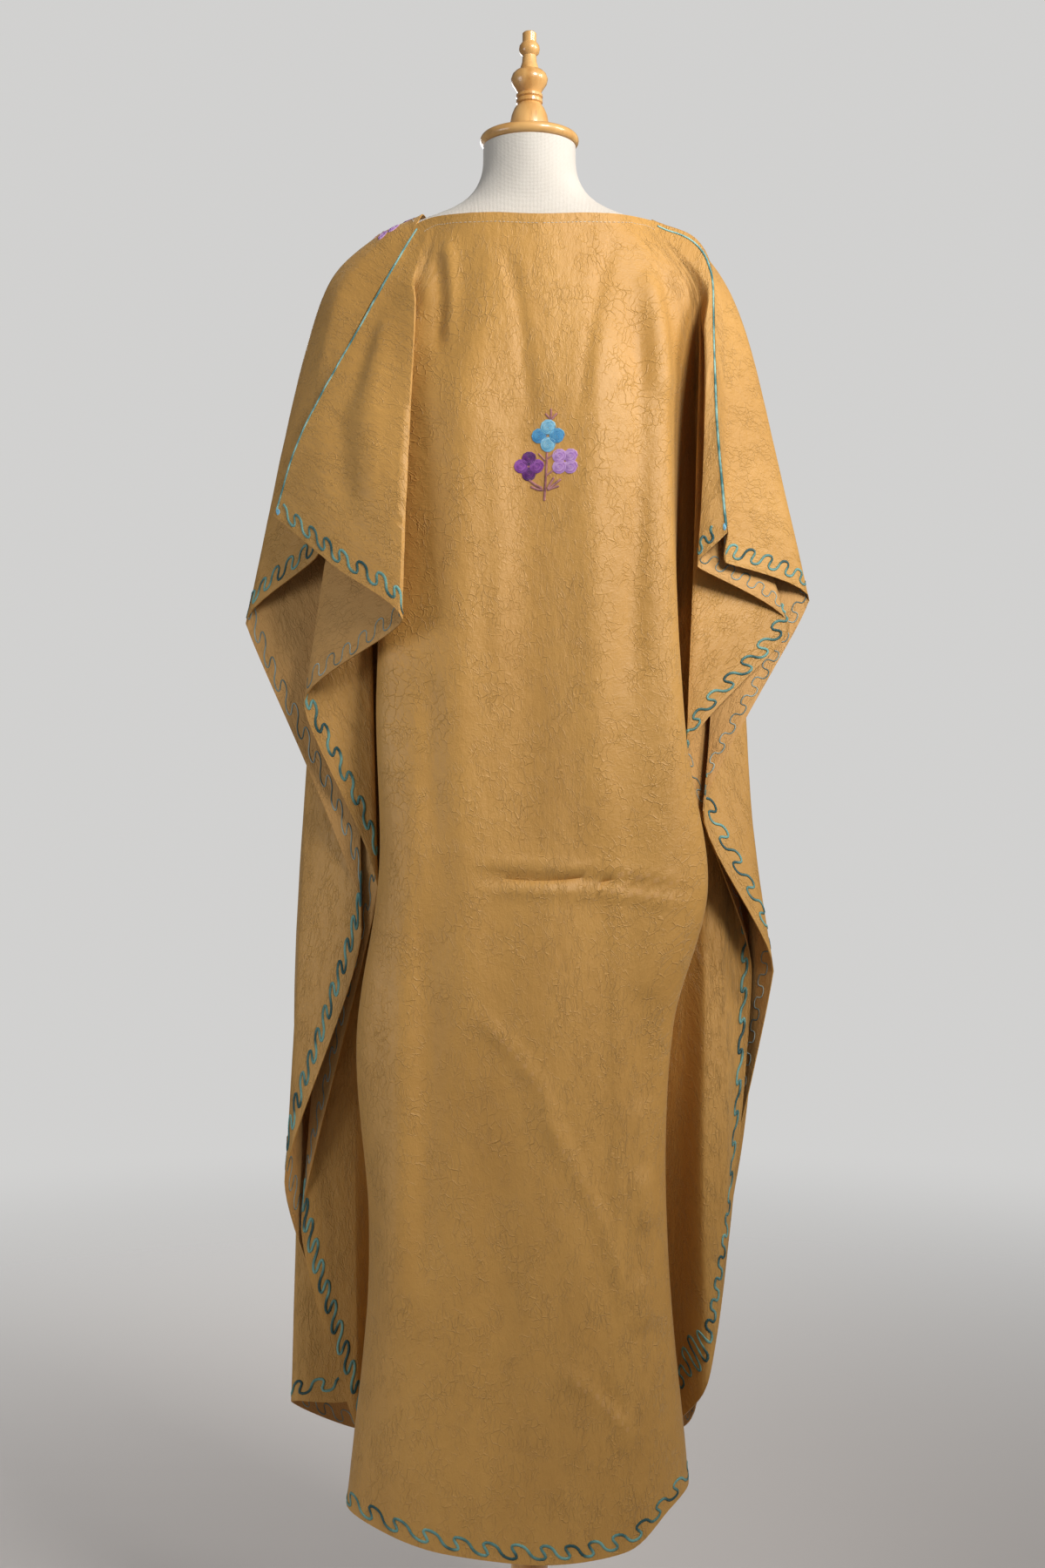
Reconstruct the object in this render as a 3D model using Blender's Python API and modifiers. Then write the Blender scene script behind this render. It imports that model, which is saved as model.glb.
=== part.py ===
"""A full-length silk kaftan hung on a limbless dress form.

The kaftan is two flat panels, front and back, joined along the shoulders. Its sides hang
open below the sleeves, so each side falls in a cascade: straight fold rays fan out from
the side of the neck, and where they end on the side edge the edge turns out and in again.

Metres, +Z up. The back of the garment faces +Y, the wearer's left is +X, and the origin is
the middle of the underside of the round base.
"""

from collections import namedtuple
from math import cos, pi, sin, sqrt

import bmesh
import bpy
from mathutils import Vector

# Cloth
WALL = 0.0014
SEAM_GAP = 0.00034
FORM_CLEARANCE = 0.0016
EASE_OFF = 0.0012
ROWS_DOWN = 22
COLUMNS_A_FOLD = 3
TOP_CROWDING = 1.2

# Flat cut, from the shoulder line down
NECK_HALF = 0.125
SLEEVE_HALF = 0.48
HEM_HALF = 0.40
CORNER_DROP = 1.30
CENTRE_DROP = 1.40

# Dress form and stand
FORM_TOP = 1.690
FORM_BOTTOM = 0.900
FORM_SIDES = 44
FIT = 0.0003
CAP_RADIUS = 0.0535
CAP_THICK = 0.0122
POLE_RADIUS = 0.020
BASE_RADIUS = 0.180
BASE_THICK = 0.026
COLLAR_RADIUS = 0.034
COLLAR_HEIGHT = 0.030
TURNED_SIDES = 24

FormRow = namedtuple("FormRow", "height half_width back front")
FORM_ROWS = (
    FormRow(0.900, 0.140, 0.098, 0.088),
    FormRow(0.980, 0.148, 0.108, 0.094),
    FormRow(1.060, 0.138, 0.098, 0.092),
    FormRow(1.180, 0.115, 0.075, 0.088),
    FormRow(1.330, 0.150, 0.096, 0.128),
    FormRow(1.400, 0.162, 0.100, 0.108),
    FormRow(1.450, 0.172, 0.098, 0.090),
    FormRow(1.500, 0.181, 0.092, 0.076),
    FormRow(1.550, 0.184, 0.078, 0.062),
    FormRow(1.575, 0.176, 0.067, 0.056),
    FormRow(1.590, 0.162, 0.060, 0.053),
    FormRow(1.602, 0.136, 0.055, 0.051),
    FormRow(1.612, 0.108, 0.052, 0.050),
    FormRow(1.622, 0.083, 0.050, 0.050),
    FormRow(1.634, 0.066, 0.050, 0.050),
    FormRow(1.648, 0.056, 0.050, 0.050),
    FormRow(1.664, 0.051, 0.050, 0.050),
    FormRow(1.690, 0.050, 0.050, 0.050),
)

# Turned profiles: height above the piece's foot, radius, from the top down
TurnRow = namedtuple("TurnRow", "height radius")
FINIAL_ROWS = (
    TurnRow(0.1120, 0.0000),
    TurnRow(0.1120, 0.0058),
    TurnRow(0.1105, 0.0075),
    TurnRow(0.1012, 0.0075),
    TurnRow(0.1000, 0.0085),
    TurnRow(0.0970, 0.0107),
    TurnRow(0.0930, 0.0113),
    TurnRow(0.0890, 0.0103),
    TurnRow(0.0862, 0.0074),
    TurnRow(0.0790, 0.0080),
    TurnRow(0.0705, 0.0108),
    TurnRow(0.0694, 0.0148),
    TurnRow(0.0660, 0.0182),
    TurnRow(0.0610, 0.0200),
    TurnRow(0.0560, 0.0190),
    TurnRow(0.0500, 0.0150),
    TurnRow(0.0452, 0.0122),
    TurnRow(0.0440, 0.0142),
    TurnRow(0.0412, 0.0145),
    TurnRow(0.0398, 0.0128),
    TurnRow(0.0384, 0.0142),
    TurnRow(0.0352, 0.0144),
    TurnRow(0.0338, 0.0126),
    TurnRow(0.0290, 0.0162),
    TurnRow(0.0220, 0.0192),
    TurnRow(0.0120, 0.0212),
    TurnRow(0.0000, 0.0218),
    TurnRow(0.0000, 0.0000),
)

# The top line of each half panel, from the centre along the neckline to the corner of the
# neck, then down the shoulder seam: across and drop in the flat cut, and the place in space.
# The seam rows are shared by the front and back panels of one side.
TopRow = namedtuple("TopRow", "across drop x y z")
BACK_NECK = {
    "left": (
        TopRow(0.000, 0.025, -0.011, 0.088, 1.592),
        TopRow(0.070, 0.016, 0.060, 0.077, 1.596),
    ),
    "right": (
        TopRow(0.000, 0.025, -0.011, 0.088, 1.592),
        TopRow(0.070, 0.016, -0.080, 0.072, 1.597),
    ),
}
FRONT_NECK = {
    "left": (
        TopRow(0.000, 0.150, -0.011, -0.084, 1.512),
        TopRow(0.060, 0.125, 0.050, -0.074, 1.538),
        TopRow(0.105, 0.065, 0.098, -0.046, 1.594),
        TopRow(0.120, 0.025, 0.113, 0.004, 1.614),
    ),
    "right": (
        TopRow(0.000, 0.150, -0.011, -0.084, 1.512),
        TopRow(0.060, 0.125, -0.072, -0.074, 1.538),
        TopRow(0.105, 0.065, -0.118, -0.048, 1.588),
        TopRow(0.120, 0.025, -0.132, -0.006, 1.609),
    ),
}
SEAM = {
    "left": (
        TopRow(NECK_HALF, 0.0, 0.119, 0.042, 1.594),
        TopRow(0.173, 0.0, 0.1405, 0.056, 1.552),
        TopRow(0.228, 0.0, 0.169, 0.061, 1.502),
        TopRow(0.382, 0.0, 0.2414, 0.060, 1.367),
        TopRow(SLEEVE_HALF, 0.0, 0.270, 0.050, 1.284),
    ),
    "right": (
        TopRow(NECK_HALF, 0.0, -0.133, 0.030, 1.600),
        TopRow(0.171, 0.0, -0.176, 0.030, 1.583),
        TopRow(0.211, 0.0, -0.1925, 0.042, 1.5465),
        TopRow(0.297, 0.0, -0.1940, 0.060, 1.461),
        TopRow(0.391, 0.0, -0.1969, 0.080, 1.365),
        TopRow(SLEEVE_HALF, 0.0, -0.2054, 0.088, 1.261),
    ),
}

# Fold rays of each half panel, from the centre line out to the seam. start is the distance
# along the top line, across and drop are the end in the flat cut, end is its place in space,
# bends are the points that the ray passes, and round is how softly the cloth turns on it.
Ray = namedtuple("Ray", "name start across drop end round bends")
BACK_RAYS = {
    "left": (
        Ray("centre", 0.000, 0.00, CENTRE_DROP, (-0.014, 0.170, 0.222), 1.0, ((-0.012, 0.128, 1.36),)),
        Ray("back", 0.045, 0.10, 1.394, (0.088, 0.166, 0.232), 1.0,
            ((0.054, 0.124, 1.37), (0.080, 0.146, 0.80))),
        Ray("flank", 0.070, 0.155, 1.385, (0.146, 0.148, 0.246), 1.0,
            ((0.082, 0.090, 1.48), (0.094, 0.112, 1.38), (0.125, 0.140, 0.91), (0.138, 0.142, 0.70))),
        Ray("ridge", 0.084, 0.21, 1.370, (0.187, 0.110, 0.262), 0.8,
            ((0.100, 0.075, 1.53), (0.112, 0.077, 1.50), (0.126, 0.084, 1.45), (0.136, 0.088, 1.38),
             (0.156, 0.105, 1.09), (0.154, 0.110, 0.91), (0.177, 0.110, 0.735), (0.165, 0.110, 0.56),
             (0.167, 0.110, 0.46))),
        Ray("hollow", 0.090, 0.31, 1.340, (0.156, 0.024, 0.285), 0.8,
            ((0.104, 0.073, 1.53), (0.120, 0.072, 1.50), (0.144, 0.062, 1.45), (0.163, 0.034, 1.38),
             (0.150, 0.030, 0.90))),
        Ray("corner", 0.095, HEM_HALF, CORNER_DROP, (0.182, 0.052, 0.315), 0.8,
            ((0.107, 0.072, 1.53), (0.124, 0.070, 1.50), (0.150, 0.056, 1.45), (0.171, 0.028, 1.38),
             (0.186, 0.026, 0.80))),
        Ray("low tip", 0.100, 0.425, 1.000, (0.243, 0.042, 0.535), 0.6,
            ((0.110, 0.071, 1.53), (0.128, 0.068, 1.50), (0.161, 0.047, 1.45), (0.185, 0.024, 1.38),
             (0.213, 0.026, 0.95))),
        Ray("mid turn", 0.105, 0.463, 0.650, (0.160, 0.074, 0.891), 0.6,
            ((0.113, 0.070, 1.53), (0.132, 0.066, 1.50), (0.164, 0.052, 1.45), (0.171, 0.053, 1.38))),
        Ray("mid tip", 0.110, 0.472, 0.430, (0.2375, 0.070, 1.087), 0.5,
            ((0.116, 0.070, 1.53), (0.138, 0.067, 1.50), (0.171, 0.060, 1.45), (0.191, 0.062, 1.38))),
        Ray("high turn", 0.119, SLEEVE_HALF, 0.240, (0.1296, 0.160, 1.164), 0.5,
            ((0.121, 0.074, 1.53), (0.119, 0.088, 1.50), (0.120, 0.102, 1.45), (0.123, 0.118, 1.38),
             (0.127, 0.140, 1.28))),
        Ray("sleeve", 0.129, SLEEVE_HALF, 0.120, (0.200, 0.119, 1.223), 1.0,
            ((0.136, 0.067, 1.53), (0.145, 0.073, 1.50), (0.160, 0.085, 1.45), (0.180, 0.099, 1.38))),
        Ray("seam", None, SLEEVE_HALF, 0.000, None, 1.0, ()),
    ),
    "right": (
        Ray("centre", 0.000, 0.00, CENTRE_DROP, (-0.014, 0.170, 0.222), 1.0, ((-0.012, 0.128, 1.36),)),
        Ray("back", 0.045, 0.10, 1.394, (-0.098, 0.160, 0.232), 1.0,
            ((-0.070, 0.122, 1.37), (-0.082, 0.140, 0.75))),
        Ray("flank", 0.072, 0.155, 1.385, (-0.138, 0.136, 0.262), 1.0,
            ((-0.108, 0.092, 1.48), (-0.116, 0.112, 1.38), (-0.146, 0.132, 0.90), (-0.116, 0.132, 0.72))),
        Ray("ridge", 0.086, 0.20, 1.375, (-0.1635, 0.100, 0.281), 0.8,
            ((-0.134, 0.070, 1.53), (-0.143, 0.080, 1.48), (-0.143, 0.096, 1.38), (-0.159, 0.108, 1.05),
             (-0.182, 0.100, 0.892), (-0.146, 0.105, 0.75), (-0.140, 0.105, 0.55))),
        Ray("hollow", 0.092, 0.31, 1.340, (-0.138, 0.030, 0.300), 0.8,
            ((-0.148, 0.060, 1.53), (-0.160, 0.056, 1.48), (-0.160, 0.036, 1.38),
             (-0.146, 0.030, 0.95), (-0.132, 0.030, 0.70))),
        Ray("corner", 0.097, HEM_HALF, CORNER_DROP, (-0.160, 0.056, 0.330), 0.8,
            ((-0.154, 0.056, 1.53), (-0.165, 0.050, 1.48), (-0.166, 0.026, 1.38), (-0.168, 0.027, 1.08),
             (-0.168, 0.028, 0.93), (-0.164, 0.038, 0.80), (-0.160, 0.050, 0.60))),
        Ray("hem tip", 0.102, 0.41, 1.200, (-0.184, 0.086, 0.373), 0.8,
            ((-0.159, 0.053, 1.53), (-0.169, 0.045, 1.48), (-0.172, 0.017, 1.38), (-0.178, 0.025, 1.08),
             (-0.182, 0.029, 0.93), (-0.184, 0.055, 0.80), (-0.180, 0.086, 0.60))),
        Ray("low turn", 0.107, 0.43, 1.030, (-0.204, 0.076, 0.493), 0.8,
            ((-0.164, 0.050, 1.53), (-0.173, 0.040, 1.48), (-0.179, 0.009, 1.38), (-0.190, 0.023, 1.08),
             (-0.196, 0.031, 0.93), (-0.204, 0.052, 0.80), (-0.207, 0.078, 0.62))),
        Ray("low tip", 0.112, 0.452, 0.730, (-0.236, 0.042, 0.812), 0.6,
            ((-0.168, 0.048, 1.53), (-0.178, 0.036, 1.48), (-0.189, 0.002, 1.38), (-0.206, 0.006, 1.10),
             (-0.218, 0.020, 0.92))),
        Ray("mid turn", 0.117, 0.467, 0.480, (-0.164, 0.078, 1.032), 0.6,
            ((-0.173, 0.046, 1.53), (-0.181, 0.039, 1.48), (-0.179, 0.046, 1.38))),
        Ray("mid tip", 0.122, SLEEVE_HALF, 0.280, (-0.279, 0.022, 1.169), 0.5,
            ((-0.178, 0.045, 1.53), (-0.184, 0.040, 1.48), (-0.208, 0.030, 1.38))),
        Ray("high turn", 0.130, SLEEVE_HALF, 0.090, (-0.175, 0.088, 1.226), 0.6,
            ((-0.186, 0.050, 1.53), (-0.184, 0.066, 1.48), (-0.184, 0.074, 1.434), (-0.180, 0.083, 1.307))),
        Ray("seam", None, SLEEVE_HALF, 0.000, None, 1.0, ()),
    ),
}
FRONT_RAYS = {
    "left": (
        Ray("centre", 0.000, 0.00, CENTRE_DROP, (-0.008, -0.152, 0.235), 1.0,
            ((-0.010, -0.142, 1.33), (-0.008, -0.132, 1.00))),
        Ray("front", 0.060, 0.10, 1.394, (0.092, -0.150, 0.242), 1.0,
            ((0.066, -0.134, 1.34), (0.078, -0.118, 1.00))),
        Ray("flank", 0.125, 0.20, 1.372, (0.190, -0.096, 0.268), 1.0,
            ((0.120, -0.066, 1.56), (0.148, -0.080, 1.48), (0.150, -0.092, 1.38), (0.168, -0.078, 0.90))),
        Ray("hem tip", 0.150, 0.32, 1.335, (0.258, -0.010, 0.328), 0.6,
            ((0.140, -0.040, 1.585), (0.180, -0.052, 1.52), (0.196, -0.045, 1.44), (0.243, -0.026, 0.80))),
        Ray("corner", 0.164, HEM_HALF, CORNER_DROP, (0.187, -0.006, 0.336), 0.8,
            ((0.147, -0.028, 1.589), (0.191, -0.036, 1.53), (0.205, -0.030, 1.46), (0.206, -0.018, 1.38),
             (0.240, -0.006, 1.00), (0.250, 0.002, 0.66))),
        Ray("low tip", 0.177, 0.428, 0.970, (0.258, 0.053, 0.579), 0.6,
            ((0.153, -0.016, 1.592), (0.198, -0.020, 1.535), (0.213, -0.014, 1.47), (0.211, -0.002, 1.38),
             (0.232, 0.010, 1.10), (0.240, 0.022, 0.95), (0.248, 0.038, 0.78))),
        Ray("mid turn", 0.190, 0.465, 0.620, (0.175, 0.074, 0.857), 0.6,
            ((0.157, -0.003, 1.593), (0.204, -0.006, 1.541), (0.222, -0.003, 1.47), (0.192, 0.033, 1.38),
             (0.182, 0.055, 1.10))),
        Ray("high tip", 0.203, SLEEVE_HALF, 0.270, (0.304, 0.020, 1.172), 0.5,
            ((0.160, 0.010, 1.592), (0.2105, 0.009, 1.547), (0.239, 0.005, 1.472), (0.265, 0.010, 1.36))),
        Ray("high turn", 0.218, SLEEVE_HALF, 0.100, (0.219, 0.077, 1.241), 0.6,
            ((0.154, 0.028, 1.582), (0.196, 0.036, 1.535), (0.212, 0.043, 1.490), (0.231, 0.050, 1.374))),
        Ray("seam", None, SLEEVE_HALF, 0.000, None, 1.0, ()),
    ),
    "right": (
        Ray("centre", 0.000, 0.00, CENTRE_DROP, (-0.008, -0.152, 0.235), 1.0,
            ((-0.010, -0.142, 1.33), (-0.008, -0.132, 1.00))),
        Ray("front", 0.060, 0.10, 1.394, (-0.100, -0.146, 0.242), 1.0,
            ((-0.080, -0.132, 1.34), (-0.090, -0.116, 1.00))),
        Ray("flank", 0.125, 0.20, 1.372, (-0.172, -0.096, 0.270), 1.0,
            ((-0.128, -0.064, 1.56), (-0.150, -0.078, 1.48), (-0.152, -0.090, 1.38),
             (-0.172, -0.078, 0.90))),
        Ray("hem tip", 0.150, 0.32, 1.335, (-0.184, -0.044, 0.325), 0.8,
            ((-0.146, -0.040, 1.584), (-0.180, -0.050, 1.52), (-0.197, -0.045, 1.44),
             (-0.234, -0.028, 0.86), (-0.226, -0.032, 0.58))),
        Ray("corner", 0.164, HEM_HALF, CORNER_DROP, (-0.162, -0.012, 0.338), 0.8,
            ((-0.153, -0.028, 1.587), (-0.190, -0.034, 1.53), (-0.206, -0.030, 1.46),
             (-0.208, -0.020, 1.38), (-0.232, -0.002, 1.00), (-0.243, 0.008, 0.82),
             (-0.238, 0.002, 0.68), (-0.222, -0.006, 0.56))),
        Ray("low tip", 0.177, 0.452, 0.730, (-0.256, 0.060, 0.803), 0.6,
            ((-0.159, -0.016, 1.589), (-0.198, -0.018, 1.535), (-0.213, -0.016, 1.47),
             (-0.213, -0.008, 1.38), (-0.230, 0.020, 1.10), (-0.238, 0.040, 0.95))),
        Ray("mid turn", 0.190, 0.467, 0.550, (-0.180, 0.082, 0.972), 0.6,
            ((-0.164, -0.004, 1.590), (-0.204, -0.004, 1.540), (-0.222, -0.004, 1.47),
             (-0.193, 0.020, 1.38), (-0.192, 0.045, 1.10))),
        Ray("high tip", 0.203, SLEEVE_HALF, 0.240, (-0.302, 0.004, 1.198), 0.5,
            ((-0.170, 0.007, 1.588), (-0.210, 0.010, 1.540), (-0.238, 0.004, 1.470))),
        Ray("high turn", 0.218, SLEEVE_HALF, 0.080, (-0.2035, 0.077, 1.231), 0.6,
            ((-0.172, 0.019, 1.586), (-0.201, 0.032, 1.535), (-0.205, 0.044, 1.480),
             (-0.2045, 0.060, 1.374))),
        Ray("seam", None, SLEEVE_HALF, 0.000, None, 1.0, ()),
    ),
}


def smooth_curve(places, points, at):
    """A smooth curve through points that sit at the given places, read at one place."""
    last = len(places) - 1
    step = 0
    while step < last - 1 and at > places[step + 1]:
        step += 1

    def slope(knot):
        before = max(knot - 1, 0)
        after = min(knot + 1, last)
        return (points[after] - points[before]) / (places[after] - places[before])

    gap = places[step + 1] - places[step]
    u = (at - places[step]) / gap
    u2 = u * u
    u3 = u2 * u
    return (
        points[step] * (2 * u3 - 3 * u2 + 1)
        + slope(step) * gap * (u3 - 2 * u2 + u)
        + points[step + 1] * (3 * u2 - 2 * u3)
        + slope(step + 1) * gap * (u3 - u2)
    )


def running_lengths(points):
    lengths = [0.0]
    for before, after in zip(points, points[1:]):
        lengths.append(lengths[-1] + (after - before).length)
    return lengths


FORM_HEIGHTS = [row.height for row in FORM_ROWS]
FORM_SIZES = [Vector((row.half_width, row.back, row.front)) for row in FORM_ROWS]


def form_size(height):
    """Half width, back depth and front depth of the dress form at a height."""
    held = min(max(height, FORM_BOTTOM), FORM_TOP)
    return smooth_curve(FORM_HEIGHTS, FORM_SIZES, held)


def form_measure(point):
    """Below 0 inside the dress form, above 0 outside, growing with the distance."""
    half_width, back, front = form_size(point.z)
    depth = back if point.y > 0 else front
    return sqrt((point.x / half_width) ** 2 + (point.y / depth) ** 2) - 1


def clear_of_form(point):
    """The point itself, or just outside the dress form where it would sink into it."""
    if not FORM_BOTTOM < point.z < FORM_TOP:
        return point
    step = 0.0005
    for _ in range(3):
        here = form_measure(point)
        if here > 0.6:
            return point
        grow = Vector((
            form_measure(point + Vector((step, 0, 0))) - form_measure(point - Vector((step, 0, 0))),
            form_measure(point + Vector((0, step, 0))) - form_measure(point - Vector((0, step, 0))),
            form_measure(point + Vector((0, 0, step))) - form_measure(point - Vector((0, 0, step))),
        )) / (2 * step)
        away = here / grow.length
        wanted = 0.5 * (away + FORM_CLEARANCE + sqrt((away - FORM_CLEARANCE) ** 2 + EASE_OFF ** 2))
        if away > FORM_CLEARANCE:
            return point + grow.normalized() * (wanted - away)
        point = point + grow.normalized() * (wanted - away)
    return point


class Half:
    """One half of a panel: its rays from the centre line to the shoulder seam."""

    def __init__(self, neck, seam, rays):
        rows = neck + seam
        self.corner = len(neck)
        self.rays = rays
        self.top_points = [Vector((row.x, row.y, row.z)) for row in rows]
        self.top_flat = [Vector((row.across, row.drop, 0)) for row in rows]
        self.top_places = running_lengths(self.top_points)
        self.tracks = [self.track(ray) for ray in rays]

    def track(self, ray):
        """The points in space and in the flat cut that one ray runs through."""
        if ray.end is None:
            points = self.top_points[self.corner:]
            return running_lengths(points), points, self.top_flat[self.corner:]
        start = smooth_curve(self.top_places, self.top_points, ray.start)
        start_flat = smooth_curve(self.top_places, self.top_flat, ray.start)
        end_flat = Vector((ray.across, ray.drop, 0))
        points = [start] + [Vector(bend) for bend in ray.bends] + [Vector(ray.end)]
        places = running_lengths(points)
        flat = [start_flat.lerp(end_flat, place / places[-1]) for place in places]
        return places, points, flat

    def on_ray(self, index, down):
        """Place in space and in the flat cut, a share of the way down one ray."""
        places, points, flat = self.tracks[index]
        at = down * places[-1]
        return smooth_curve(places, points, at), smooth_curve(places, flat, at)

    def row(self, down, columns):
        """One row of the panel at the given places between rays, 0 at the centre line."""
        stops = [self.on_ray(i, down) for i in range(len(self.rays))]
        last = len(stops) - 1

        def turn(i, which):
            before = stops[max(i - 1, 0)][which]
            here = stops[i][which]
            after = stops[min(i + 1, last)][which]
            reach = min(
                (length for length in ((here - before).length, (after - here).length) if length > 0),
                default=0,
            )
            if which == 0 and i == 0:
                return Vector((reach if after.x > before.x else -reach, 0, 0))
            return (after - before).normalized() * reach * self.rays[i].round

        made = []
        for column in columns:
            i = min(int(column), last - 1)
            u = column - i
            u2 = u * u
            u3 = u2 * u
            pair = []
            for which in (0, 1):
                pair.append(
                    stops[i][which] * (2 * u3 - 3 * u2 + 1)
                    + turn(i, which) * (u3 - 2 * u2 + u)
                    + stops[i + 1][which] * (3 * u2 - 2 * u3)
                    + turn(i + 1, which) * (u3 - u2)
                )
            made.append((clear_of_form(pair[0]), pair[1]))
        return made


def open_seam(side_rows, outward):
    """Draws a half's seam edge back and up by half the seam gap, so that two panels part."""
    moved = []
    for i, row in enumerate(side_rows):
        above = side_rows[max(i - 1, 0)]
        below = side_rows[min(i + 1, len(side_rows) - 1)]
        across = (row[-1] - row[-2]).normalized()
        down = (below[-1] - above[-1]).normalized()
        up = across.cross(down).normalized() * outward
        moved.append(row[-1] - across * SEAM_GAP / 2 + up * SEAM_GAP / 2)
    for row, point in zip(side_rows, moved):
        row[-1] = point


def panel_rows(necks, rays, facing_back, rows_down, columns_a_fold):
    """Rows of a whole panel from its right seam to its left one, each a list of points."""
    sides = {}
    for side, turn in (("left", 1), ("right", -1)):
        half = Half(necks[side], SEAM[side], rays[side])
        places = [i / columns_a_fold for i in range(columns_a_fold * (len(rays[side]) - 1) + 1)]
        sides[side] = [
            [point for point, flat in half.row((step / rows_down) ** TOP_CROWDING, places)]
            for step in range(rows_down + 1)
        ]
        open_seam(sides[side], turn if facing_back else -turn)
    return [right[:0:-1] + left for left, right in zip(sides["left"], sides["right"])]


def material(name, colour, roughness, metallic=0.0):
    made = bpy.data.materials.new(name)
    made.use_nodes = True
    shader = made.node_tree.nodes["Principled BSDF"]
    shader.inputs["Base Color"].default_value = (*colour, 1.0)
    shader.inputs["Roughness"].default_value = roughness
    shader.inputs["Metallic"].default_value = metallic
    return made


def add_object(name, mesh, finish, collection):
    mesh.materials.append(finish)
    made = bpy.data.objects.new(name, mesh)
    collection.objects.link(made)
    return made


def cloth_panel(name, necks, rays, facing_back, finish, collection):
    """A panel as an open sheet of its inner face, with its wall grown outwards."""
    rows = panel_rows(necks, rays, facing_back, ROWS_DOWN, COLUMNS_A_FOLD)
    sheet = bmesh.new()
    grid = [[sheet.verts.new(point) for point in row] for row in rows]
    for upper, lower in zip(grid, grid[1:]):
        for i in range(len(upper) - 1):
            corners = [upper[i], upper[i + 1], lower[i + 1], lower[i]]
            if not facing_back:
                corners.reverse()
            face = sheet.faces.new(corners)
            face.smooth = True
    bmesh.ops.triangulate(sheet, faces=sheet.faces[:])
    mesh = bpy.data.meshes.new(name)
    sheet.to_mesh(mesh)
    sheet.free()
    panel = add_object(name, mesh, finish, collection)
    wall = panel.modifiers.new("Wall", "SOLIDIFY")
    wall.thickness = WALL
    wall.offset = 1.0
    return panel


def form_torso(finish, collection):
    """The padded torso and neck, a loft through its sections, closed at both ends."""
    heights = [FORM_BOTTOM + 0.0, FORM_BOTTOM + 0.012]
    heights += [0.95, 0.98, 1.02, 1.06, 1.12, 1.18, 1.24, 1.29, 1.33, 1.365, 1.40, 1.43, 1.46, 1.49]
    heights += [1.515, 1.54, 1.56, 1.575, 1.588, 1.598, 1.606, 1.613, 1.621, 1.631, 1.643, 1.66, FORM_TOP]
    body = bmesh.new()
    rings = []
    for height in heights:
        half_width, back, front = form_size(height)
        tuck = 0.93 if height == FORM_BOTTOM else 1.0
        ring = []
        for side in range(FORM_SIDES):
            angle = 2 * pi * side / FORM_SIDES
            depth = back if sin(angle) > 0 else front
            ring.append(body.verts.new((
                tuck * half_width * cos(angle), tuck * depth * sin(angle), height
            )))
        rings.append(ring)
    for lower, upper in zip(rings, rings[1:]):
        for side in range(FORM_SIDES):
            after = (side + 1) % FORM_SIDES
            body.faces.new((lower[side], lower[after], upper[after], upper[side])).smooth = True
    body.faces.new(list(reversed(rings[0])))
    body.faces.new(rings[-1])
    mesh = bpy.data.meshes.new("form_torso")
    body.to_mesh(mesh)
    body.free()
    return add_object("form_torso", mesh, finish, collection)


def turned(name, rows, foot, finish, collection):
    """A turned piece: its profile from the top down, swept round the upright axis."""
    outline = bmesh.new()
    points = [outline.verts.new((row.radius, 0, row.height)) for row in rows]
    for upper, lower in zip(points, points[1:]):
        outline.edges.new((upper, lower))
    mesh = bpy.data.meshes.new(name)
    outline.to_mesh(mesh)
    outline.free()
    piece = add_object(name, mesh, finish, collection)
    piece.location.z = foot
    sweep = piece.modifiers.new("Turn", "SCREW")
    sweep.steps = TURNED_SIDES
    sweep.render_steps = TURNED_SIDES
    sweep.use_merge_vertices = True
    sweep.merge_threshold = 0.00001
    sweep.use_smooth_shade = True
    return piece


def rounded_disc(radius, thick, edge, steps=5):
    """Profile of a disc whose outer edge is a quarter round above and below."""
    rows = [TurnRow(thick, 0.0)]
    for i in range(steps + 1):
        angle = pi / 2 * i / steps
        rows.append(TurnRow(thick - edge + edge * cos(angle), radius - edge + edge * sin(angle)))
    for i in range(steps + 1):
        angle = pi / 2 * i / steps
        rows.append(TurnRow(edge - edge * sin(angle), radius - edge + edge * cos(angle)))
    rows.append(TurnRow(0.0, 0.0))
    kept = [rows[0]]
    for row in rows[1:]:
        if abs(row.height - kept[-1].height) > 1e-6 or abs(row.radius - kept[-1].radius) > 1e-6:
            kept.append(row)
    return kept


def base_profile():
    """A round wooden foot with a rolled top edge and a raised collar round the pole."""
    rows = [
        TurnRow(BASE_THICK + COLLAR_HEIGHT, 0.0),
        TurnRow(BASE_THICK + COLLAR_HEIGHT, COLLAR_RADIUS - 0.006),
        TurnRow(BASE_THICK + COLLAR_HEIGHT - 0.005, COLLAR_RADIUS - 0.002),
        TurnRow(BASE_THICK + 0.012, COLLAR_RADIUS),
        TurnRow(BASE_THICK + 0.004, COLLAR_RADIUS + 0.005),
        TurnRow(BASE_THICK, COLLAR_RADIUS + 0.014),
    ]
    edge = BASE_THICK * 0.45
    for i in range(6):
        angle = pi / 2 * i / 5
        rows.append(TurnRow(
            BASE_THICK - edge + edge * cos(angle), BASE_RADIUS - edge + edge * sin(angle)
        ))
    rows.append(TurnRow(0.004, BASE_RADIUS))
    rows.append(TurnRow(0.0, BASE_RADIUS - 0.004))
    rows.append(TurnRow(0.0, 0.0))
    return rows


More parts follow.
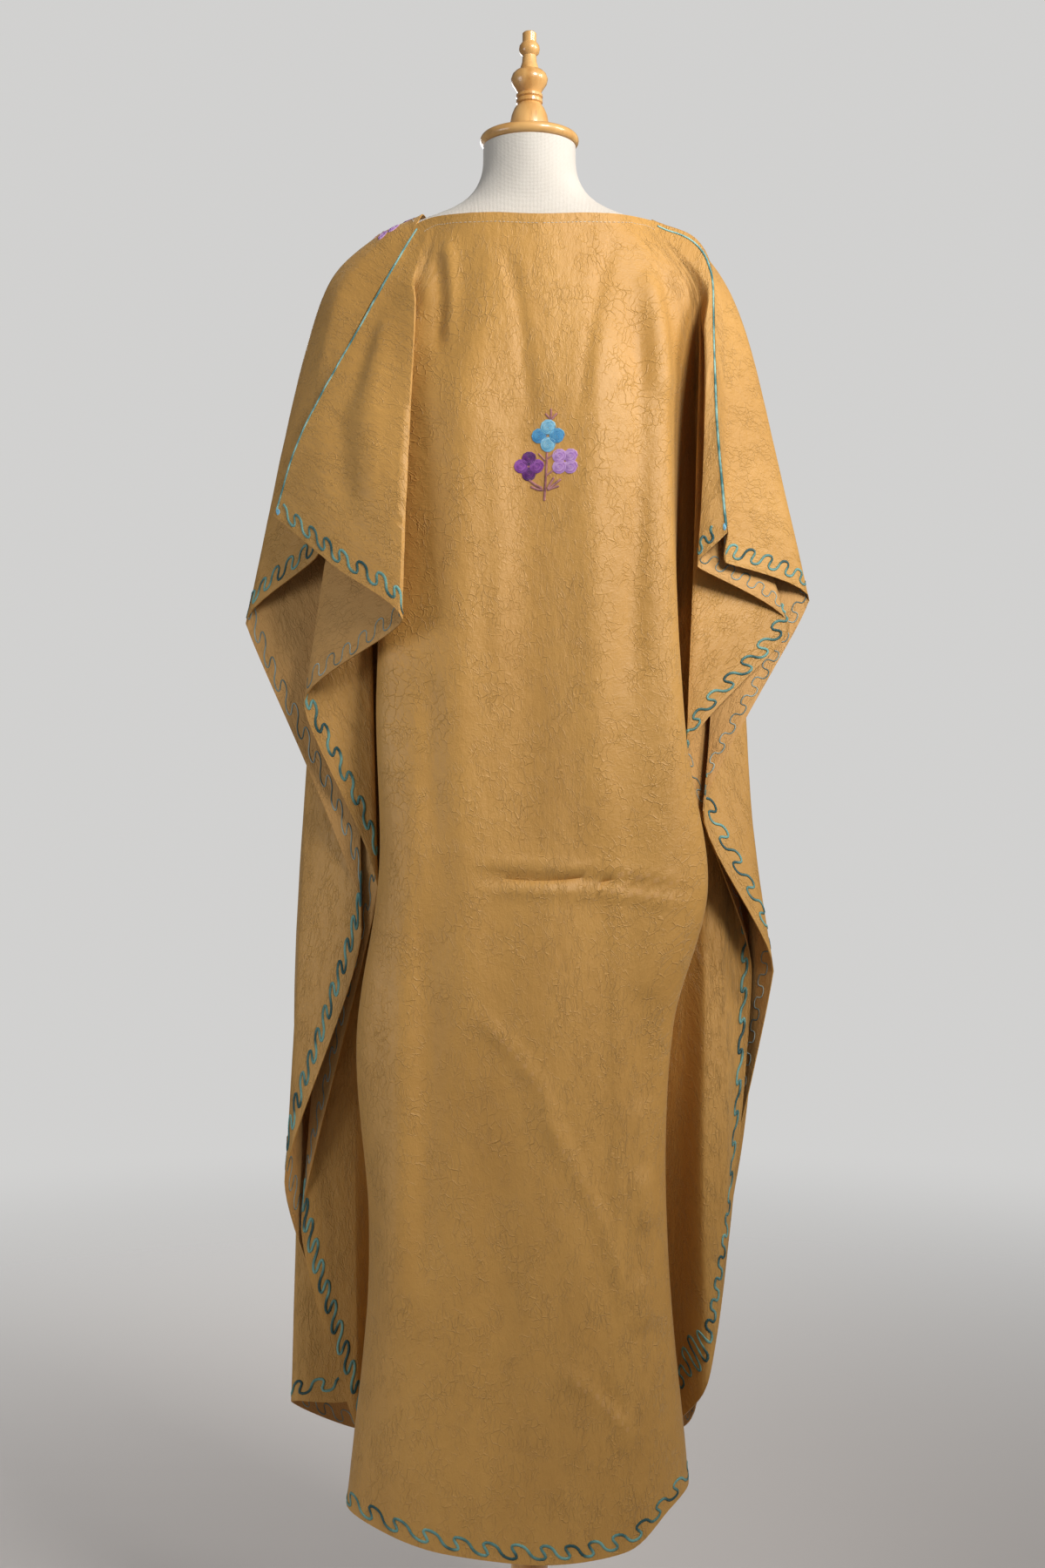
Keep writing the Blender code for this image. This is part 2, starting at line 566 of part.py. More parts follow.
def build():
    for old in list(bpy.data.objects):
        bpy.data.objects.remove(old, do_unlink=True)
    parts = bpy.data.collections.new("kaftan_on_dress_form")
    bpy.context.scene.collection.children.link(parts)

    silk = material("ochre_silk", (0.46, 0.27, 0.085), 0.45)
    linen = material("cream_linen", (0.78, 0.74, 0.68), 0.9)
    honey_wood = material("honey_wood", (0.52, 0.27, 0.09), 0.35)

    collar_top = BASE_THICK + COLLAR_HEIGHT
    pole_length = FORM_BOTTOM - FIT - (collar_top + FIT)
    pole_rows = rounded_disc(POLE_RADIUS, pole_length, 0.0015, steps=2)
    cap_rows = rounded_disc(CAP_RADIUS, CAP_THICK, CAP_THICK / 2)

    turned("stand_base", base_profile(), 0.0, honey_wood, parts)
    turned("stand_pole", pole_rows, collar_top + FIT, honey_wood, parts)
    form_torso(linen, parts)
    turned("neck_cap", cap_rows, FORM_TOP + FIT, honey_wood, parts)
    turned("finial", FINIAL_ROWS, FORM_TOP + CAP_THICK + 2 * FIT, honey_wood, parts)
    cloth_panel("kaftan_back", BACK_NECK, BACK_RAYS, True, silk, parts)
    cloth_panel("kaftan_front", FRONT_NECK, FRONT_RAYS, False, silk, parts)


build()
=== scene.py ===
"""A silk kaftan on a limbless dress form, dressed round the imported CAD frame."""

from collections import namedtuple
from math import cos, pi, radians, sin, sqrt

import bpy
import numpy as np
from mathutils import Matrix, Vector
from mathutils.bvhtree import BVHTree
from mathutils.geometry import barycentric_transform
from mathutils.noise import noise


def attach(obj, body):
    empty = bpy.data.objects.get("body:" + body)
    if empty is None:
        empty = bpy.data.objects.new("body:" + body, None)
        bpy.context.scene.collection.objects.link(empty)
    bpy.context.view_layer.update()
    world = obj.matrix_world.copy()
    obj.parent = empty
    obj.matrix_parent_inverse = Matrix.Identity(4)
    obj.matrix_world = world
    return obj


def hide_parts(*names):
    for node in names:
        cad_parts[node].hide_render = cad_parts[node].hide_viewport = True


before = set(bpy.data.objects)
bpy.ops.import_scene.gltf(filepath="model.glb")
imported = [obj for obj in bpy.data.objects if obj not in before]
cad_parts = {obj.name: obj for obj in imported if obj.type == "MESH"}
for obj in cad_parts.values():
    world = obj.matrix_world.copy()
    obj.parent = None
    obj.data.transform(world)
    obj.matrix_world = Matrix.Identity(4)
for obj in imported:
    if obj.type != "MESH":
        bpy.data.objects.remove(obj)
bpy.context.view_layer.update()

# The camera stands level behind the garment at chest height, a little to the wearer's left,
# as in the photograph. The lens is set for the long side of the frame.
CAMERA_PLACE = (0.0075, 2.1, 1.0)
CAMERA_LENS = 44.48

bpy.ops.object.camera_add(location=CAMERA_PLACE, rotation=(pi / 2, 0, pi))
camera = bpy.context.object
camera.data.sensor_width = 36
camera.data.lens = CAMERA_LENS
bpy.context.scene.camera = camera


# The kaftan's cut and hang. It is two flat panels, front and back, joined down the shoulders,
# and its sides hang open. Each half panel is a fan of fold rays from the neckline to its edge.
FORM_BOTTOM = 0.900
FORM_TOP = 1.690
FORM_CLEARANCE = 0.0016
EASE_OFF = 0.0012

SEAM_GAP = 0.00034
TOP_CROWDING = 1.2
NECK_HALF = 0.125
SLEEVE_HALF = 0.48
HEM_HALF = 0.40
CORNER_DROP = 1.30
CENTRE_DROP = 1.40
SLEEVE_DEPTH = 0.34

FormRow = namedtuple("FormRow", "height half_width back front")
FORM_ROWS = (
    FormRow(0.900, 0.140, 0.098, 0.088),
    FormRow(0.980, 0.148, 0.108, 0.094),
    FormRow(1.060, 0.138, 0.098, 0.092),
    FormRow(1.180, 0.115, 0.075, 0.088),
    FormRow(1.330, 0.150, 0.096, 0.128),
    FormRow(1.400, 0.162, 0.100, 0.108),
    FormRow(1.450, 0.172, 0.098, 0.090),
    FormRow(1.500, 0.181, 0.092, 0.076),
    FormRow(1.550, 0.184, 0.078, 0.062),
    FormRow(1.575, 0.176, 0.067, 0.056),
    FormRow(1.590, 0.162, 0.060, 0.053),
    FormRow(1.602, 0.136, 0.055, 0.051),
    FormRow(1.612, 0.108, 0.052, 0.050),
    FormRow(1.622, 0.083, 0.050, 0.050),
    FormRow(1.634, 0.066, 0.050, 0.050),
    FormRow(1.648, 0.056, 0.050, 0.050),
    FormRow(1.664, 0.051, 0.050, 0.050),
    FormRow(1.690, 0.050, 0.050, 0.050),
)

# The top line of each half panel, from the centre along the neckline to the corner of the
# neck, then down the shoulder seam: across and drop in the flat cut, and the place in space.
# The seam rows are shared by the front and back panels of one side.
TopRow = namedtuple("TopRow", "across drop x y z")
BACK_NECK = {
    "left": (
        TopRow(0.000, 0.025, -0.011, 0.088, 1.592),
        TopRow(0.070, 0.016, 0.060, 0.077, 1.596),
    ),
    "right": (
        TopRow(0.000, 0.025, -0.011, 0.088, 1.592),
        TopRow(0.070, 0.016, -0.080, 0.072, 1.597),
    ),
}
FRONT_NECK = {
    "left": (
        TopRow(0.000, 0.150, -0.011, -0.084, 1.512),
        TopRow(0.060, 0.125, 0.050, -0.074, 1.538),
        TopRow(0.105, 0.065, 0.098, -0.046, 1.594),
        TopRow(0.120, 0.025, 0.113, 0.004, 1.614),
    ),
    "right": (
        TopRow(0.000, 0.150, -0.011, -0.084, 1.512),
        TopRow(0.060, 0.125, -0.072, -0.074, 1.538),
        TopRow(0.105, 0.065, -0.118, -0.048, 1.588),
        TopRow(0.120, 0.025, -0.132, -0.006, 1.609),
    ),
}
SEAM = {
    "left": (
        TopRow(NECK_HALF, 0.0, 0.119, 0.042, 1.594),
        TopRow(0.173, 0.0, 0.1405, 0.056, 1.552),
        TopRow(0.228, 0.0, 0.169, 0.061, 1.502),
        TopRow(0.382, 0.0, 0.2414, 0.060, 1.367),
        TopRow(SLEEVE_HALF, 0.0, 0.270, 0.050, 1.284),
    ),
    "right": (
        TopRow(NECK_HALF, 0.0, -0.133, 0.030, 1.600),
        TopRow(0.171, 0.0, -0.176, 0.030, 1.583),
        TopRow(0.211, 0.0, -0.1925, 0.042, 1.5465),
        TopRow(0.297, 0.0, -0.1940, 0.060, 1.461),
        TopRow(0.391, 0.0, -0.1969, 0.080, 1.365),
        TopRow(SLEEVE_HALF, 0.0, -0.2054, 0.088, 1.261),
    ),
}

# Fold rays of each half panel, from the centre line out to the seam. start is the distance
# along the top line, across and drop are the end in the flat cut, end is its place in space,
# bends are the points that the ray passes, and round is how softly the cloth turns on it.
Ray = namedtuple("Ray", "name start across drop end round bends")
BACK_RAYS = {
    "left": (
        Ray("centre", 0.000, 0.00, CENTRE_DROP, (-0.014, 0.170, 0.222), 1.0, ((-0.012, 0.128, 1.36),)),
        Ray("back", 0.045, 0.10, 1.394, (0.088, 0.166, 0.232), 1.0,
            ((0.054, 0.124, 1.37), (0.080, 0.146, 0.80))),
        Ray("flank", 0.070, 0.155, 1.385, (0.146, 0.148, 0.246), 1.0,
            ((0.082, 0.090, 1.48), (0.094, 0.112, 1.38), (0.125, 0.140, 0.91), (0.138, 0.142, 0.70))),
        Ray("ridge", 0.084, 0.21, 1.370, (0.187, 0.110, 0.262), 0.8,
            ((0.100, 0.075, 1.53), (0.112, 0.077, 1.50), (0.126, 0.084, 1.45), (0.136, 0.088, 1.38),
             (0.156, 0.105, 1.09), (0.154, 0.110, 0.91), (0.177, 0.110, 0.735), (0.165, 0.110, 0.56),
             (0.167, 0.110, 0.46))),
        Ray("hollow", 0.090, 0.31, 1.340, (0.156, 0.024, 0.285), 0.8,
            ((0.104, 0.073, 1.53), (0.120, 0.072, 1.50), (0.144, 0.062, 1.45), (0.163, 0.034, 1.38),
             (0.150, 0.030, 0.90))),
        Ray("corner", 0.095, HEM_HALF, CORNER_DROP, (0.182, 0.052, 0.315), 0.8,
            ((0.107, 0.072, 1.53), (0.124, 0.070, 1.50), (0.150, 0.056, 1.45), (0.171, 0.028, 1.38),
             (0.186, 0.026, 0.80))),
        Ray("low tip", 0.100, 0.425, 1.000, (0.243, 0.042, 0.535), 0.6,
            ((0.110, 0.071, 1.53), (0.128, 0.068, 1.50), (0.161, 0.047, 1.45), (0.185, 0.024, 1.38),
             (0.213, 0.026, 0.95))),
        Ray("mid turn", 0.105, 0.463, 0.650, (0.160, 0.074, 0.891), 0.6,
            ((0.113, 0.070, 1.53), (0.132, 0.066, 1.50), (0.164, 0.052, 1.45), (0.171, 0.053, 1.38))),
        Ray("mid tip", 0.110, 0.472, 0.430, (0.2375, 0.070, 1.087), 0.5,
            ((0.116, 0.070, 1.53), (0.138, 0.067, 1.50), (0.171, 0.060, 1.45), (0.191, 0.062, 1.38))),
        Ray("high turn", 0.119, SLEEVE_HALF, 0.240, (0.1296, 0.160, 1.164), 0.5,
            ((0.121, 0.074, 1.53), (0.119, 0.088, 1.50), (0.120, 0.102, 1.45), (0.123, 0.118, 1.38),
             (0.127, 0.140, 1.28))),
        Ray("sleeve", 0.129, SLEEVE_HALF, 0.120, (0.200, 0.119, 1.223), 1.0,
            ((0.136, 0.067, 1.53), (0.145, 0.073, 1.50), (0.160, 0.085, 1.45), (0.180, 0.099, 1.38))),
        Ray("seam", None, SLEEVE_HALF, 0.000, None, 1.0, ()),
    ),
    "right": (
        Ray("centre", 0.000, 0.00, CENTRE_DROP, (-0.014, 0.170, 0.222), 1.0, ((-0.012, 0.128, 1.36),)),
        Ray("back", 0.045, 0.10, 1.394, (-0.098, 0.160, 0.232), 1.0,
            ((-0.070, 0.122, 1.37), (-0.082, 0.140, 0.75))),
        Ray("flank", 0.072, 0.155, 1.385, (-0.138, 0.136, 0.262), 1.0,
            ((-0.108, 0.092, 1.48), (-0.116, 0.112, 1.38), (-0.146, 0.132, 0.90), (-0.116, 0.132, 0.72))),
        Ray("ridge", 0.086, 0.20, 1.375, (-0.1635, 0.100, 0.281), 0.8,
            ((-0.134, 0.070, 1.53), (-0.143, 0.080, 1.48), (-0.143, 0.096, 1.38), (-0.159, 0.108, 1.05),
             (-0.182, 0.100, 0.892), (-0.146, 0.105, 0.75), (-0.140, 0.105, 0.55))),
        Ray("hollow", 0.092, 0.31, 1.340, (-0.138, 0.030, 0.300), 0.8,
            ((-0.148, 0.060, 1.53), (-0.160, 0.056, 1.48), (-0.160, 0.036, 1.38),
             (-0.146, 0.030, 0.95), (-0.132, 0.030, 0.70))),
        Ray("corner", 0.097, HEM_HALF, CORNER_DROP, (-0.160, 0.056, 0.330), 0.8,
            ((-0.154, 0.056, 1.53), (-0.165, 0.050, 1.48), (-0.166, 0.026, 1.38), (-0.168, 0.027, 1.08),
             (-0.168, 0.028, 0.93), (-0.164, 0.038, 0.80), (-0.160, 0.050, 0.60))),
        Ray("hem tip", 0.102, 0.41, 1.200, (-0.184, 0.086, 0.373), 0.8,
            ((-0.159, 0.053, 1.53), (-0.169, 0.045, 1.48), (-0.172, 0.017, 1.38), (-0.178, 0.025, 1.08),
             (-0.182, 0.029, 0.93), (-0.184, 0.055, 0.80), (-0.180, 0.086, 0.60))),
        Ray("low turn", 0.107, 0.43, 1.030, (-0.204, 0.076, 0.493), 0.8,
            ((-0.164, 0.050, 1.53), (-0.173, 0.040, 1.48), (-0.179, 0.009, 1.38), (-0.190, 0.023, 1.08),
             (-0.196, 0.031, 0.93), (-0.204, 0.052, 0.80), (-0.207, 0.078, 0.62))),
        Ray("low tip", 0.112, 0.452, 0.730, (-0.236, 0.042, 0.812), 0.6,
            ((-0.168, 0.048, 1.53), (-0.178, 0.036, 1.48), (-0.189, 0.002, 1.38), (-0.206, 0.006, 1.10),
             (-0.218, 0.020, 0.92))),
        Ray("mid turn", 0.117, 0.467, 0.480, (-0.164, 0.078, 1.032), 0.6,
            ((-0.173, 0.046, 1.53), (-0.181, 0.039, 1.48), (-0.179, 0.046, 1.38))),
        Ray("mid tip", 0.122, SLEEVE_HALF, 0.280, (-0.279, 0.022, 1.169), 0.5,
            ((-0.178, 0.045, 1.53), (-0.184, 0.040, 1.48), (-0.208, 0.030, 1.38))),
        Ray("high turn", 0.130, SLEEVE_HALF, 0.090, (-0.175, 0.088, 1.226), 0.6,
            ((-0.186, 0.050, 1.53), (-0.184, 0.066, 1.48), (-0.184, 0.074, 1.434), (-0.180, 0.083, 1.307))),
        Ray("seam", None, SLEEVE_HALF, 0.000, None, 1.0, ()),
    ),
}
FRONT_RAYS = {
    "left": (
        Ray("centre", 0.000, 0.00, CENTRE_DROP, (-0.008, -0.152, 0.235), 1.0,
            ((-0.010, -0.142, 1.33), (-0.008, -0.132, 1.00))),
        Ray("front", 0.060, 0.10, 1.394, (0.092, -0.150, 0.242), 1.0,
            ((0.066, -0.134, 1.34), (0.078, -0.118, 1.00))),
        Ray("flank", 0.125, 0.20, 1.372, (0.190, -0.096, 0.268), 1.0,
            ((0.120, -0.066, 1.56), (0.148, -0.080, 1.48), (0.150, -0.092, 1.38), (0.168, -0.078, 0.90))),
        Ray("hem tip", 0.150, 0.32, 1.335, (0.258, -0.010, 0.328), 0.6,
            ((0.140, -0.040, 1.585), (0.180, -0.052, 1.52), (0.196, -0.045, 1.44), (0.243, -0.026, 0.80))),
        Ray("corner", 0.164, HEM_HALF, CORNER_DROP, (0.187, -0.006, 0.336), 0.8,
            ((0.147, -0.028, 1.589), (0.191, -0.036, 1.53), (0.205, -0.030, 1.46), (0.206, -0.018, 1.38),
             (0.240, -0.006, 1.00), (0.250, 0.002, 0.66))),
        Ray("low tip", 0.177, 0.428, 0.970, (0.258, 0.053, 0.579), 0.6,
            ((0.153, -0.016, 1.592), (0.198, -0.020, 1.535), (0.213, -0.014, 1.47), (0.211, -0.002, 1.38),
             (0.232, 0.010, 1.10), (0.240, 0.022, 0.95), (0.248, 0.038, 0.78))),
        Ray("mid turn", 0.190, 0.465, 0.620, (0.175, 0.074, 0.857), 0.6,
            ((0.157, -0.003, 1.593), (0.204, -0.006, 1.541), (0.222, -0.003, 1.47), (0.192, 0.033, 1.38),
             (0.182, 0.055, 1.10))),
        Ray("high tip", 0.203, SLEEVE_HALF, 0.270, (0.304, 0.020, 1.172), 0.5,
            ((0.160, 0.010, 1.592), (0.2105, 0.009, 1.547), (0.239, 0.005, 1.472), (0.265, 0.010, 1.36))),
        Ray("high turn", 0.218, SLEEVE_HALF, 0.100, (0.219, 0.077, 1.241), 0.6,
            ((0.154, 0.028, 1.582), (0.196, 0.036, 1.535), (0.212, 0.043, 1.490), (0.231, 0.050, 1.374))),
        Ray("seam", None, SLEEVE_HALF, 0.000, None, 1.0, ()),
    ),
    "right": (
        Ray("centre", 0.000, 0.00, CENTRE_DROP, (-0.008, -0.152, 0.235), 1.0,
            ((-0.010, -0.142, 1.33), (-0.008, -0.132, 1.00))),
        Ray("front", 0.060, 0.10, 1.394, (-0.100, -0.146, 0.242), 1.0,
            ((-0.080, -0.132, 1.34), (-0.090, -0.116, 1.00))),
        Ray("flank", 0.125, 0.20, 1.372, (-0.172, -0.096, 0.270), 1.0,
            ((-0.128, -0.064, 1.56), (-0.150, -0.078, 1.48), (-0.152, -0.090, 1.38),
             (-0.172, -0.078, 0.90))),
        Ray("hem tip", 0.150, 0.32, 1.335, (-0.184, -0.044, 0.325), 0.8,
            ((-0.146, -0.040, 1.584), (-0.180, -0.050, 1.52), (-0.197, -0.045, 1.44),
             (-0.234, -0.028, 0.86), (-0.226, -0.032, 0.58))),
        Ray("corner", 0.164, HEM_HALF, CORNER_DROP, (-0.162, -0.012, 0.338), 0.8,
            ((-0.153, -0.028, 1.587), (-0.190, -0.034, 1.53), (-0.206, -0.030, 1.46),
             (-0.208, -0.020, 1.38), (-0.232, -0.002, 1.00), (-0.243, 0.008, 0.82),
             (-0.238, 0.002, 0.68), (-0.222, -0.006, 0.56))),
        Ray("low tip", 0.177, 0.452, 0.730, (-0.256, 0.060, 0.803), 0.6,
            ((-0.159, -0.016, 1.589), (-0.198, -0.018, 1.535), (-0.213, -0.016, 1.47),
             (-0.213, -0.008, 1.38), (-0.230, 0.020, 1.10), (-0.238, 0.040, 0.95))),
        Ray("mid turn", 0.190, 0.467, 0.550, (-0.180, 0.082, 0.972), 0.6,
            ((-0.164, -0.004, 1.590), (-0.204, -0.004, 1.540), (-0.222, -0.004, 1.47),
             (-0.193, 0.020, 1.38), (-0.192, 0.045, 1.10))),
        Ray("high tip", 0.203, SLEEVE_HALF, 0.240, (-0.302, 0.004, 1.198), 0.5,
            ((-0.170, 0.007, 1.588), (-0.210, 0.010, 1.540), (-0.238, 0.004, 1.470))),
        Ray("high turn", 0.218, SLEEVE_HALF, 0.080, (-0.2035, 0.077, 1.231), 0.6,
            ((-0.172, 0.019, 1.586), (-0.201, 0.032, 1.535), (-0.205, 0.044, 1.480),
             (-0.2045, 0.060, 1.374))),
        Ray("seam", None, SLEEVE_HALF, 0.000, None, 1.0, ()),
    ),
}


def smooth_curve(places, points, at):
    """A smooth curve through points that sit at the given places, read at one place."""
    last = len(places) - 1
    step = 0
    while step < last - 1 and at > places[step + 1]:
        step += 1

    def slope(knot):
        before = max(knot - 1, 0)
        after = min(knot + 1, last)
        return (points[after] - points[before]) / (places[after] - places[before])

    gap = places[step + 1] - places[step]
    u = (at - places[step]) / gap
    u2 = u * u
    u3 = u2 * u
    return (
        points[step] * (2 * u3 - 3 * u2 + 1)
        + slope(step) * gap * (u3 - 2 * u2 + u)
        + points[step + 1] * (3 * u2 - 2 * u3)
        + slope(step + 1) * gap * (u3 - u2)
    )


def running_lengths(points):
    lengths = [0.0]
    for before, after in zip(points, points[1:]):
        lengths.append(lengths[-1] + (after - before).length)
    return lengths


form_heights = [row.height for row in FORM_ROWS]
form_sizes = [Vector((row.half_width, row.back, row.front)) for row in FORM_ROWS]
SIZE_STEP = 0.002
size_count = int((FORM_TOP - FORM_BOTTOM) / SIZE_STEP) + 2
size_table = [smooth_curve(form_heights, form_sizes, FORM_BOTTOM + i * SIZE_STEP) for i in range(size_count)]


def form_size(height):
    """Half width, back depth and front depth of the dress form at a height."""
    at = (min(max(height, FORM_BOTTOM), FORM_TOP) - FORM_BOTTOM) / SIZE_STEP
    i = min(int(at), size_count - 2)
    return size_table[i].lerp(size_table[i + 1], at - i)


def form_measure(point):
    """Below 0 inside the dress form, above 0 outside, growing with the distance."""
    half_width, back, front = form_size(point.z)
    depth = back if point.y > 0 else front
    return sqrt((point.x / half_width) ** 2 + (point.y / depth) ** 2) - 1


def clear_of_form(point):
    """The point itself, or just outside the dress form where it would sink into it."""
    if not FORM_BOTTOM < point.z < FORM_TOP:
        return point
    step = 0.0005
    for _ in range(3):
        here = form_measure(point)
        if here > 0.6:
            return point
        grow = Vector((
            form_measure(point + Vector((step, 0, 0))) - form_measure(point - Vector((step, 0, 0))),
            form_measure(point + Vector((0, step, 0))) - form_measure(point - Vector((0, step, 0))),
            form_measure(point + Vector((0, 0, step))) - form_measure(point - Vector((0, 0, step))),
        )) / (2 * step)
        away = here / grow.length
        wanted = 0.5 * (away + FORM_CLEARANCE + sqrt((away - FORM_CLEARANCE) ** 2 + EASE_OFF ** 2))
        if away > FORM_CLEARANCE:
            return point + grow.normalized() * (wanted - away)
        point = point + grow.normalized() * (wanted - away)
    return point


class Half:
    """One half of a panel: its rays from the centre line to the shoulder seam."""

    def __init__(self, neck, seam, rays):
        rows = neck + seam
        self.corner = len(neck)
        self.rays = rays
        self.top_points = [Vector((row.x, row.y, row.z)) for row in rows]
        self.top_flat = [Vector((row.across, row.drop, 0)) for row in rows]
        self.top_places = running_lengths(self.top_points)
        self.tracks = [self.track(ray) for ray in rays]

    def track(self, ray):
        """The points in space and in the flat cut that one ray runs through."""
        if ray.end is None:
            points = self.top_points[self.corner:]
            return running_lengths(points), points, self.top_flat[self.corner:]
        start = smooth_curve(self.top_places, self.top_points, ray.start)
        start_flat = smooth_curve(self.top_places, self.top_flat, ray.start)
        end_flat = Vector((ray.across, ray.drop, 0))
        points = [start] + [Vector(bend) for bend in ray.bends] + [Vector(ray.end)]
        places = running_lengths(points)
        flat = [start_flat.lerp(end_flat, place / places[-1]) for place in places]
        return places, points, flat

    def on_ray(self, index, down):
        """Place in space and in the flat cut, a share of the way down one ray."""
        places, points, flat = self.tracks[index]
        at = down * places[-1]
        return smooth_curve(places, points, at), smooth_curve(places, flat, at)

    def row(self, down, columns):
        """One row of the panel at the given places between rays, 0 at the centre line."""
        stops = [self.on_ray(i, down) for i in range(len(self.rays))]
        last = len(stops) - 1

        def turn(i, which):
            before = stops[max(i - 1, 0)][which]
            here = stops[i][which]
            after = stops[min(i + 1, last)][which]
            reach = min(
                (length for length in ((here - before).length, (after - here).length) if length > 0),
                default=0,
            )
            if which == 0 and i == 0:
                return Vector((reach if after.x > before.x else -reach, 0, 0))
            return (after - before).normalized() * reach * self.rays[i].round

        made = []
        for column in columns:
            i = min(int(column), last - 1)
            u = column - i
            u2 = u * u
            u3 = u2 * u
            pair = []
            for which in (0, 1):
                pair.append(
                    stops[i][which] * (2 * u3 - 3 * u2 + 1)
                    + turn(i, which) * (u3 - 2 * u2 + u)
                    + stops[i + 1][which] * (3 * u2 - 2 * u3)
                    + turn(i + 1, which) * (u3 - u2)
                )
            made.append((clear_of_form(pair[0]), pair[1]))
        return made


def open_seam(side_rows, outward):
    """Draws a half's seam edge back and up by half the seam gap, so that two panels part."""
    moved = []
    for i, row in enumerate(side_rows):
        above = side_rows[max(i - 1, 0)]
        below = side_rows[min(i + 1, len(side_rows) - 1)]
        across = (row[-1] - row[-2]).normalized()
        down = (below[-1] - above[-1]).normalized()
        up = across.cross(down).normalized() * outward
        moved.append(row[-1] - across * SEAM_GAP / 2 + up * SEAM_GAP / 2)
    for row, point in zip(side_rows, moved):
        row[-1] = point


# Each panel is a thin shell of crushed silk that follows the wall of its CAD solid. Folds and creases
# are raised or sunk from it one by one, and the edges and neckline have a narrow turned hem.
CLOTH = 0.0007
CLOTH_LIFT = 0.0004
SHELL_ROWS = 198
CENTRE_STEP = 0.007
SIDE_STEP = 0.018
CENTRE_FOLDS = 3
HEM_TURN = 0.007
NECK_TURN = 0.011
TURN_RISE = 0.0004
TURN_SINK = 0.00028
TURN_EDGE = 800
LONG_RIPPLE = 0.0013
SHORT_RIPPLE = 0.0003
FINE_RIDGE = 0.0001
CALM_FROM_NECK = 0.10
HEM_SAG = 0.10

# Each fold or crease is its line across the hung panel, as (x, z) places, with how wide and how
# high it stands. A minus height is a valley.
Fold = namedtuple("Fold", "width height line")
BACK_FOLDS = (
    Fold(0.024, 0.0052, ((0.070, 1.545), (0.068, 1.300), (0.072, 1.060), (0.066, 0.860), (0.070, 0.640))),
    Fold(0.028, -0.0056, ((0.016, 1.500), (0.002, 1.330), (0.000, 1.080), (0.000, 0.860))),
    Fold(0.010, 0.0020, ((0.034, 1.380), (0.030, 1.220), (0.032, 1.080))),
    Fold(0.022, 0.0064,
         ((-0.088, 1.560), (-0.070, 1.440), (-0.064, 1.280), (-0.070, 1.000), (-0.078, 0.860))),
    Fold(0.012, -0.0052,
         ((-0.106, 1.520), (-0.115, 1.430), (-0.116, 1.340), (-0.108, 1.200), (-0.104, 1.060))),
    Fold(0.012, 0.0052, ((-0.122, 1.545), (-0.134, 1.460), (-0.138, 1.390))),
    Fold(0.009, -0.0046, ((-0.136, 1.550), (-0.152, 1.480), (-0.158, 1.420))),
    Fold(0.007, -0.0026, ((0.030, 1.570), (0.014, 1.510), (0.004, 1.420), (-0.004, 1.360))),
    Fold(0.007, -0.0026, ((-0.092, 1.580), (-0.070, 1.510), (-0.058, 1.440), (-0.052, 1.370))),
    Fold(0.013, -0.0052, ((0.139, 1.535), (0.172, 1.450), (0.198, 1.381), (0.190, 1.262))),
    Fold(0.011, 0.0046, ((0.148, 1.525), (0.158, 1.450), (0.164, 1.381), (0.161, 1.254))),
    Fold(0.008, -0.0046, ((0.098, 1.560), (0.092, 1.500), (0.096, 1.440))),
    Fold(0.007, 0.0040, ((0.086, 1.575), (0.080, 1.510), (0.082, 1.450))),
    Fold(0.011, -0.0034, ((0.103, 1.120), (0.100, 1.020), (0.098, 0.930))),
    Fold(0.0058, 0.0034, ((0.070, 0.919), (-0.080, 0.910), (-0.180, 0.894))),
    Fold(0.0058, -0.0054, ((0.068, 0.908), (-0.082, 0.902), (-0.180, 0.888))),
    Fold(0.0064, 0.0040, ((0.056, 0.896), (-0.085, 0.893), (-0.180, 0.881))),
    Fold(0.0060, 0.0026, ((-0.084, 1.000), (-0.088, 0.720), (-0.092, 0.420))),
    Fold(0.018, 0.0040, ((0.132, 0.800), (0.128, 0.620), (0.132, 0.420))),
    Fold(0.012, -0.0044, ((0.109, 0.900), (0.104, 0.760), (0.106, 0.640), (0.110, 0.480))),
    Fold(0.0062, 0.0034, ((0.061, 0.775), (0.020, 0.736), (-0.014, 0.690), (-0.034, 0.632))),
    Fold(0.0066, 0.0036, ((-0.001, 0.685), (-0.040, 0.622), (-0.072, 0.560), (-0.098, 0.471))),
    Fold(0.0058, 0.0034, ((-0.023, 0.419), (-0.067, 0.386), (-0.098, 0.352), (-0.104, 0.319))),
    Fold(0.0058, -0.0028, ((-0.067, 0.400), (-0.098, 0.366))),
    Fold(0.012, 0.0042, ((-0.112, 0.610), (-0.120, 0.545))),
    Fold(0.012, 0.0036, ((-0.110, 0.505), (-0.116, 0.445))),
    Fold(0.012, -0.0040, ((-0.118, 0.800), (-0.112, 0.660))),
    Fold(0.020, -0.0030, ((0.040, 0.640), (0.030, 0.460), (0.036, 0.290))),
    Fold(0.016, 0.0026, ((-0.046, 0.600), (-0.052, 0.440), (-0.050, 0.290))),
)
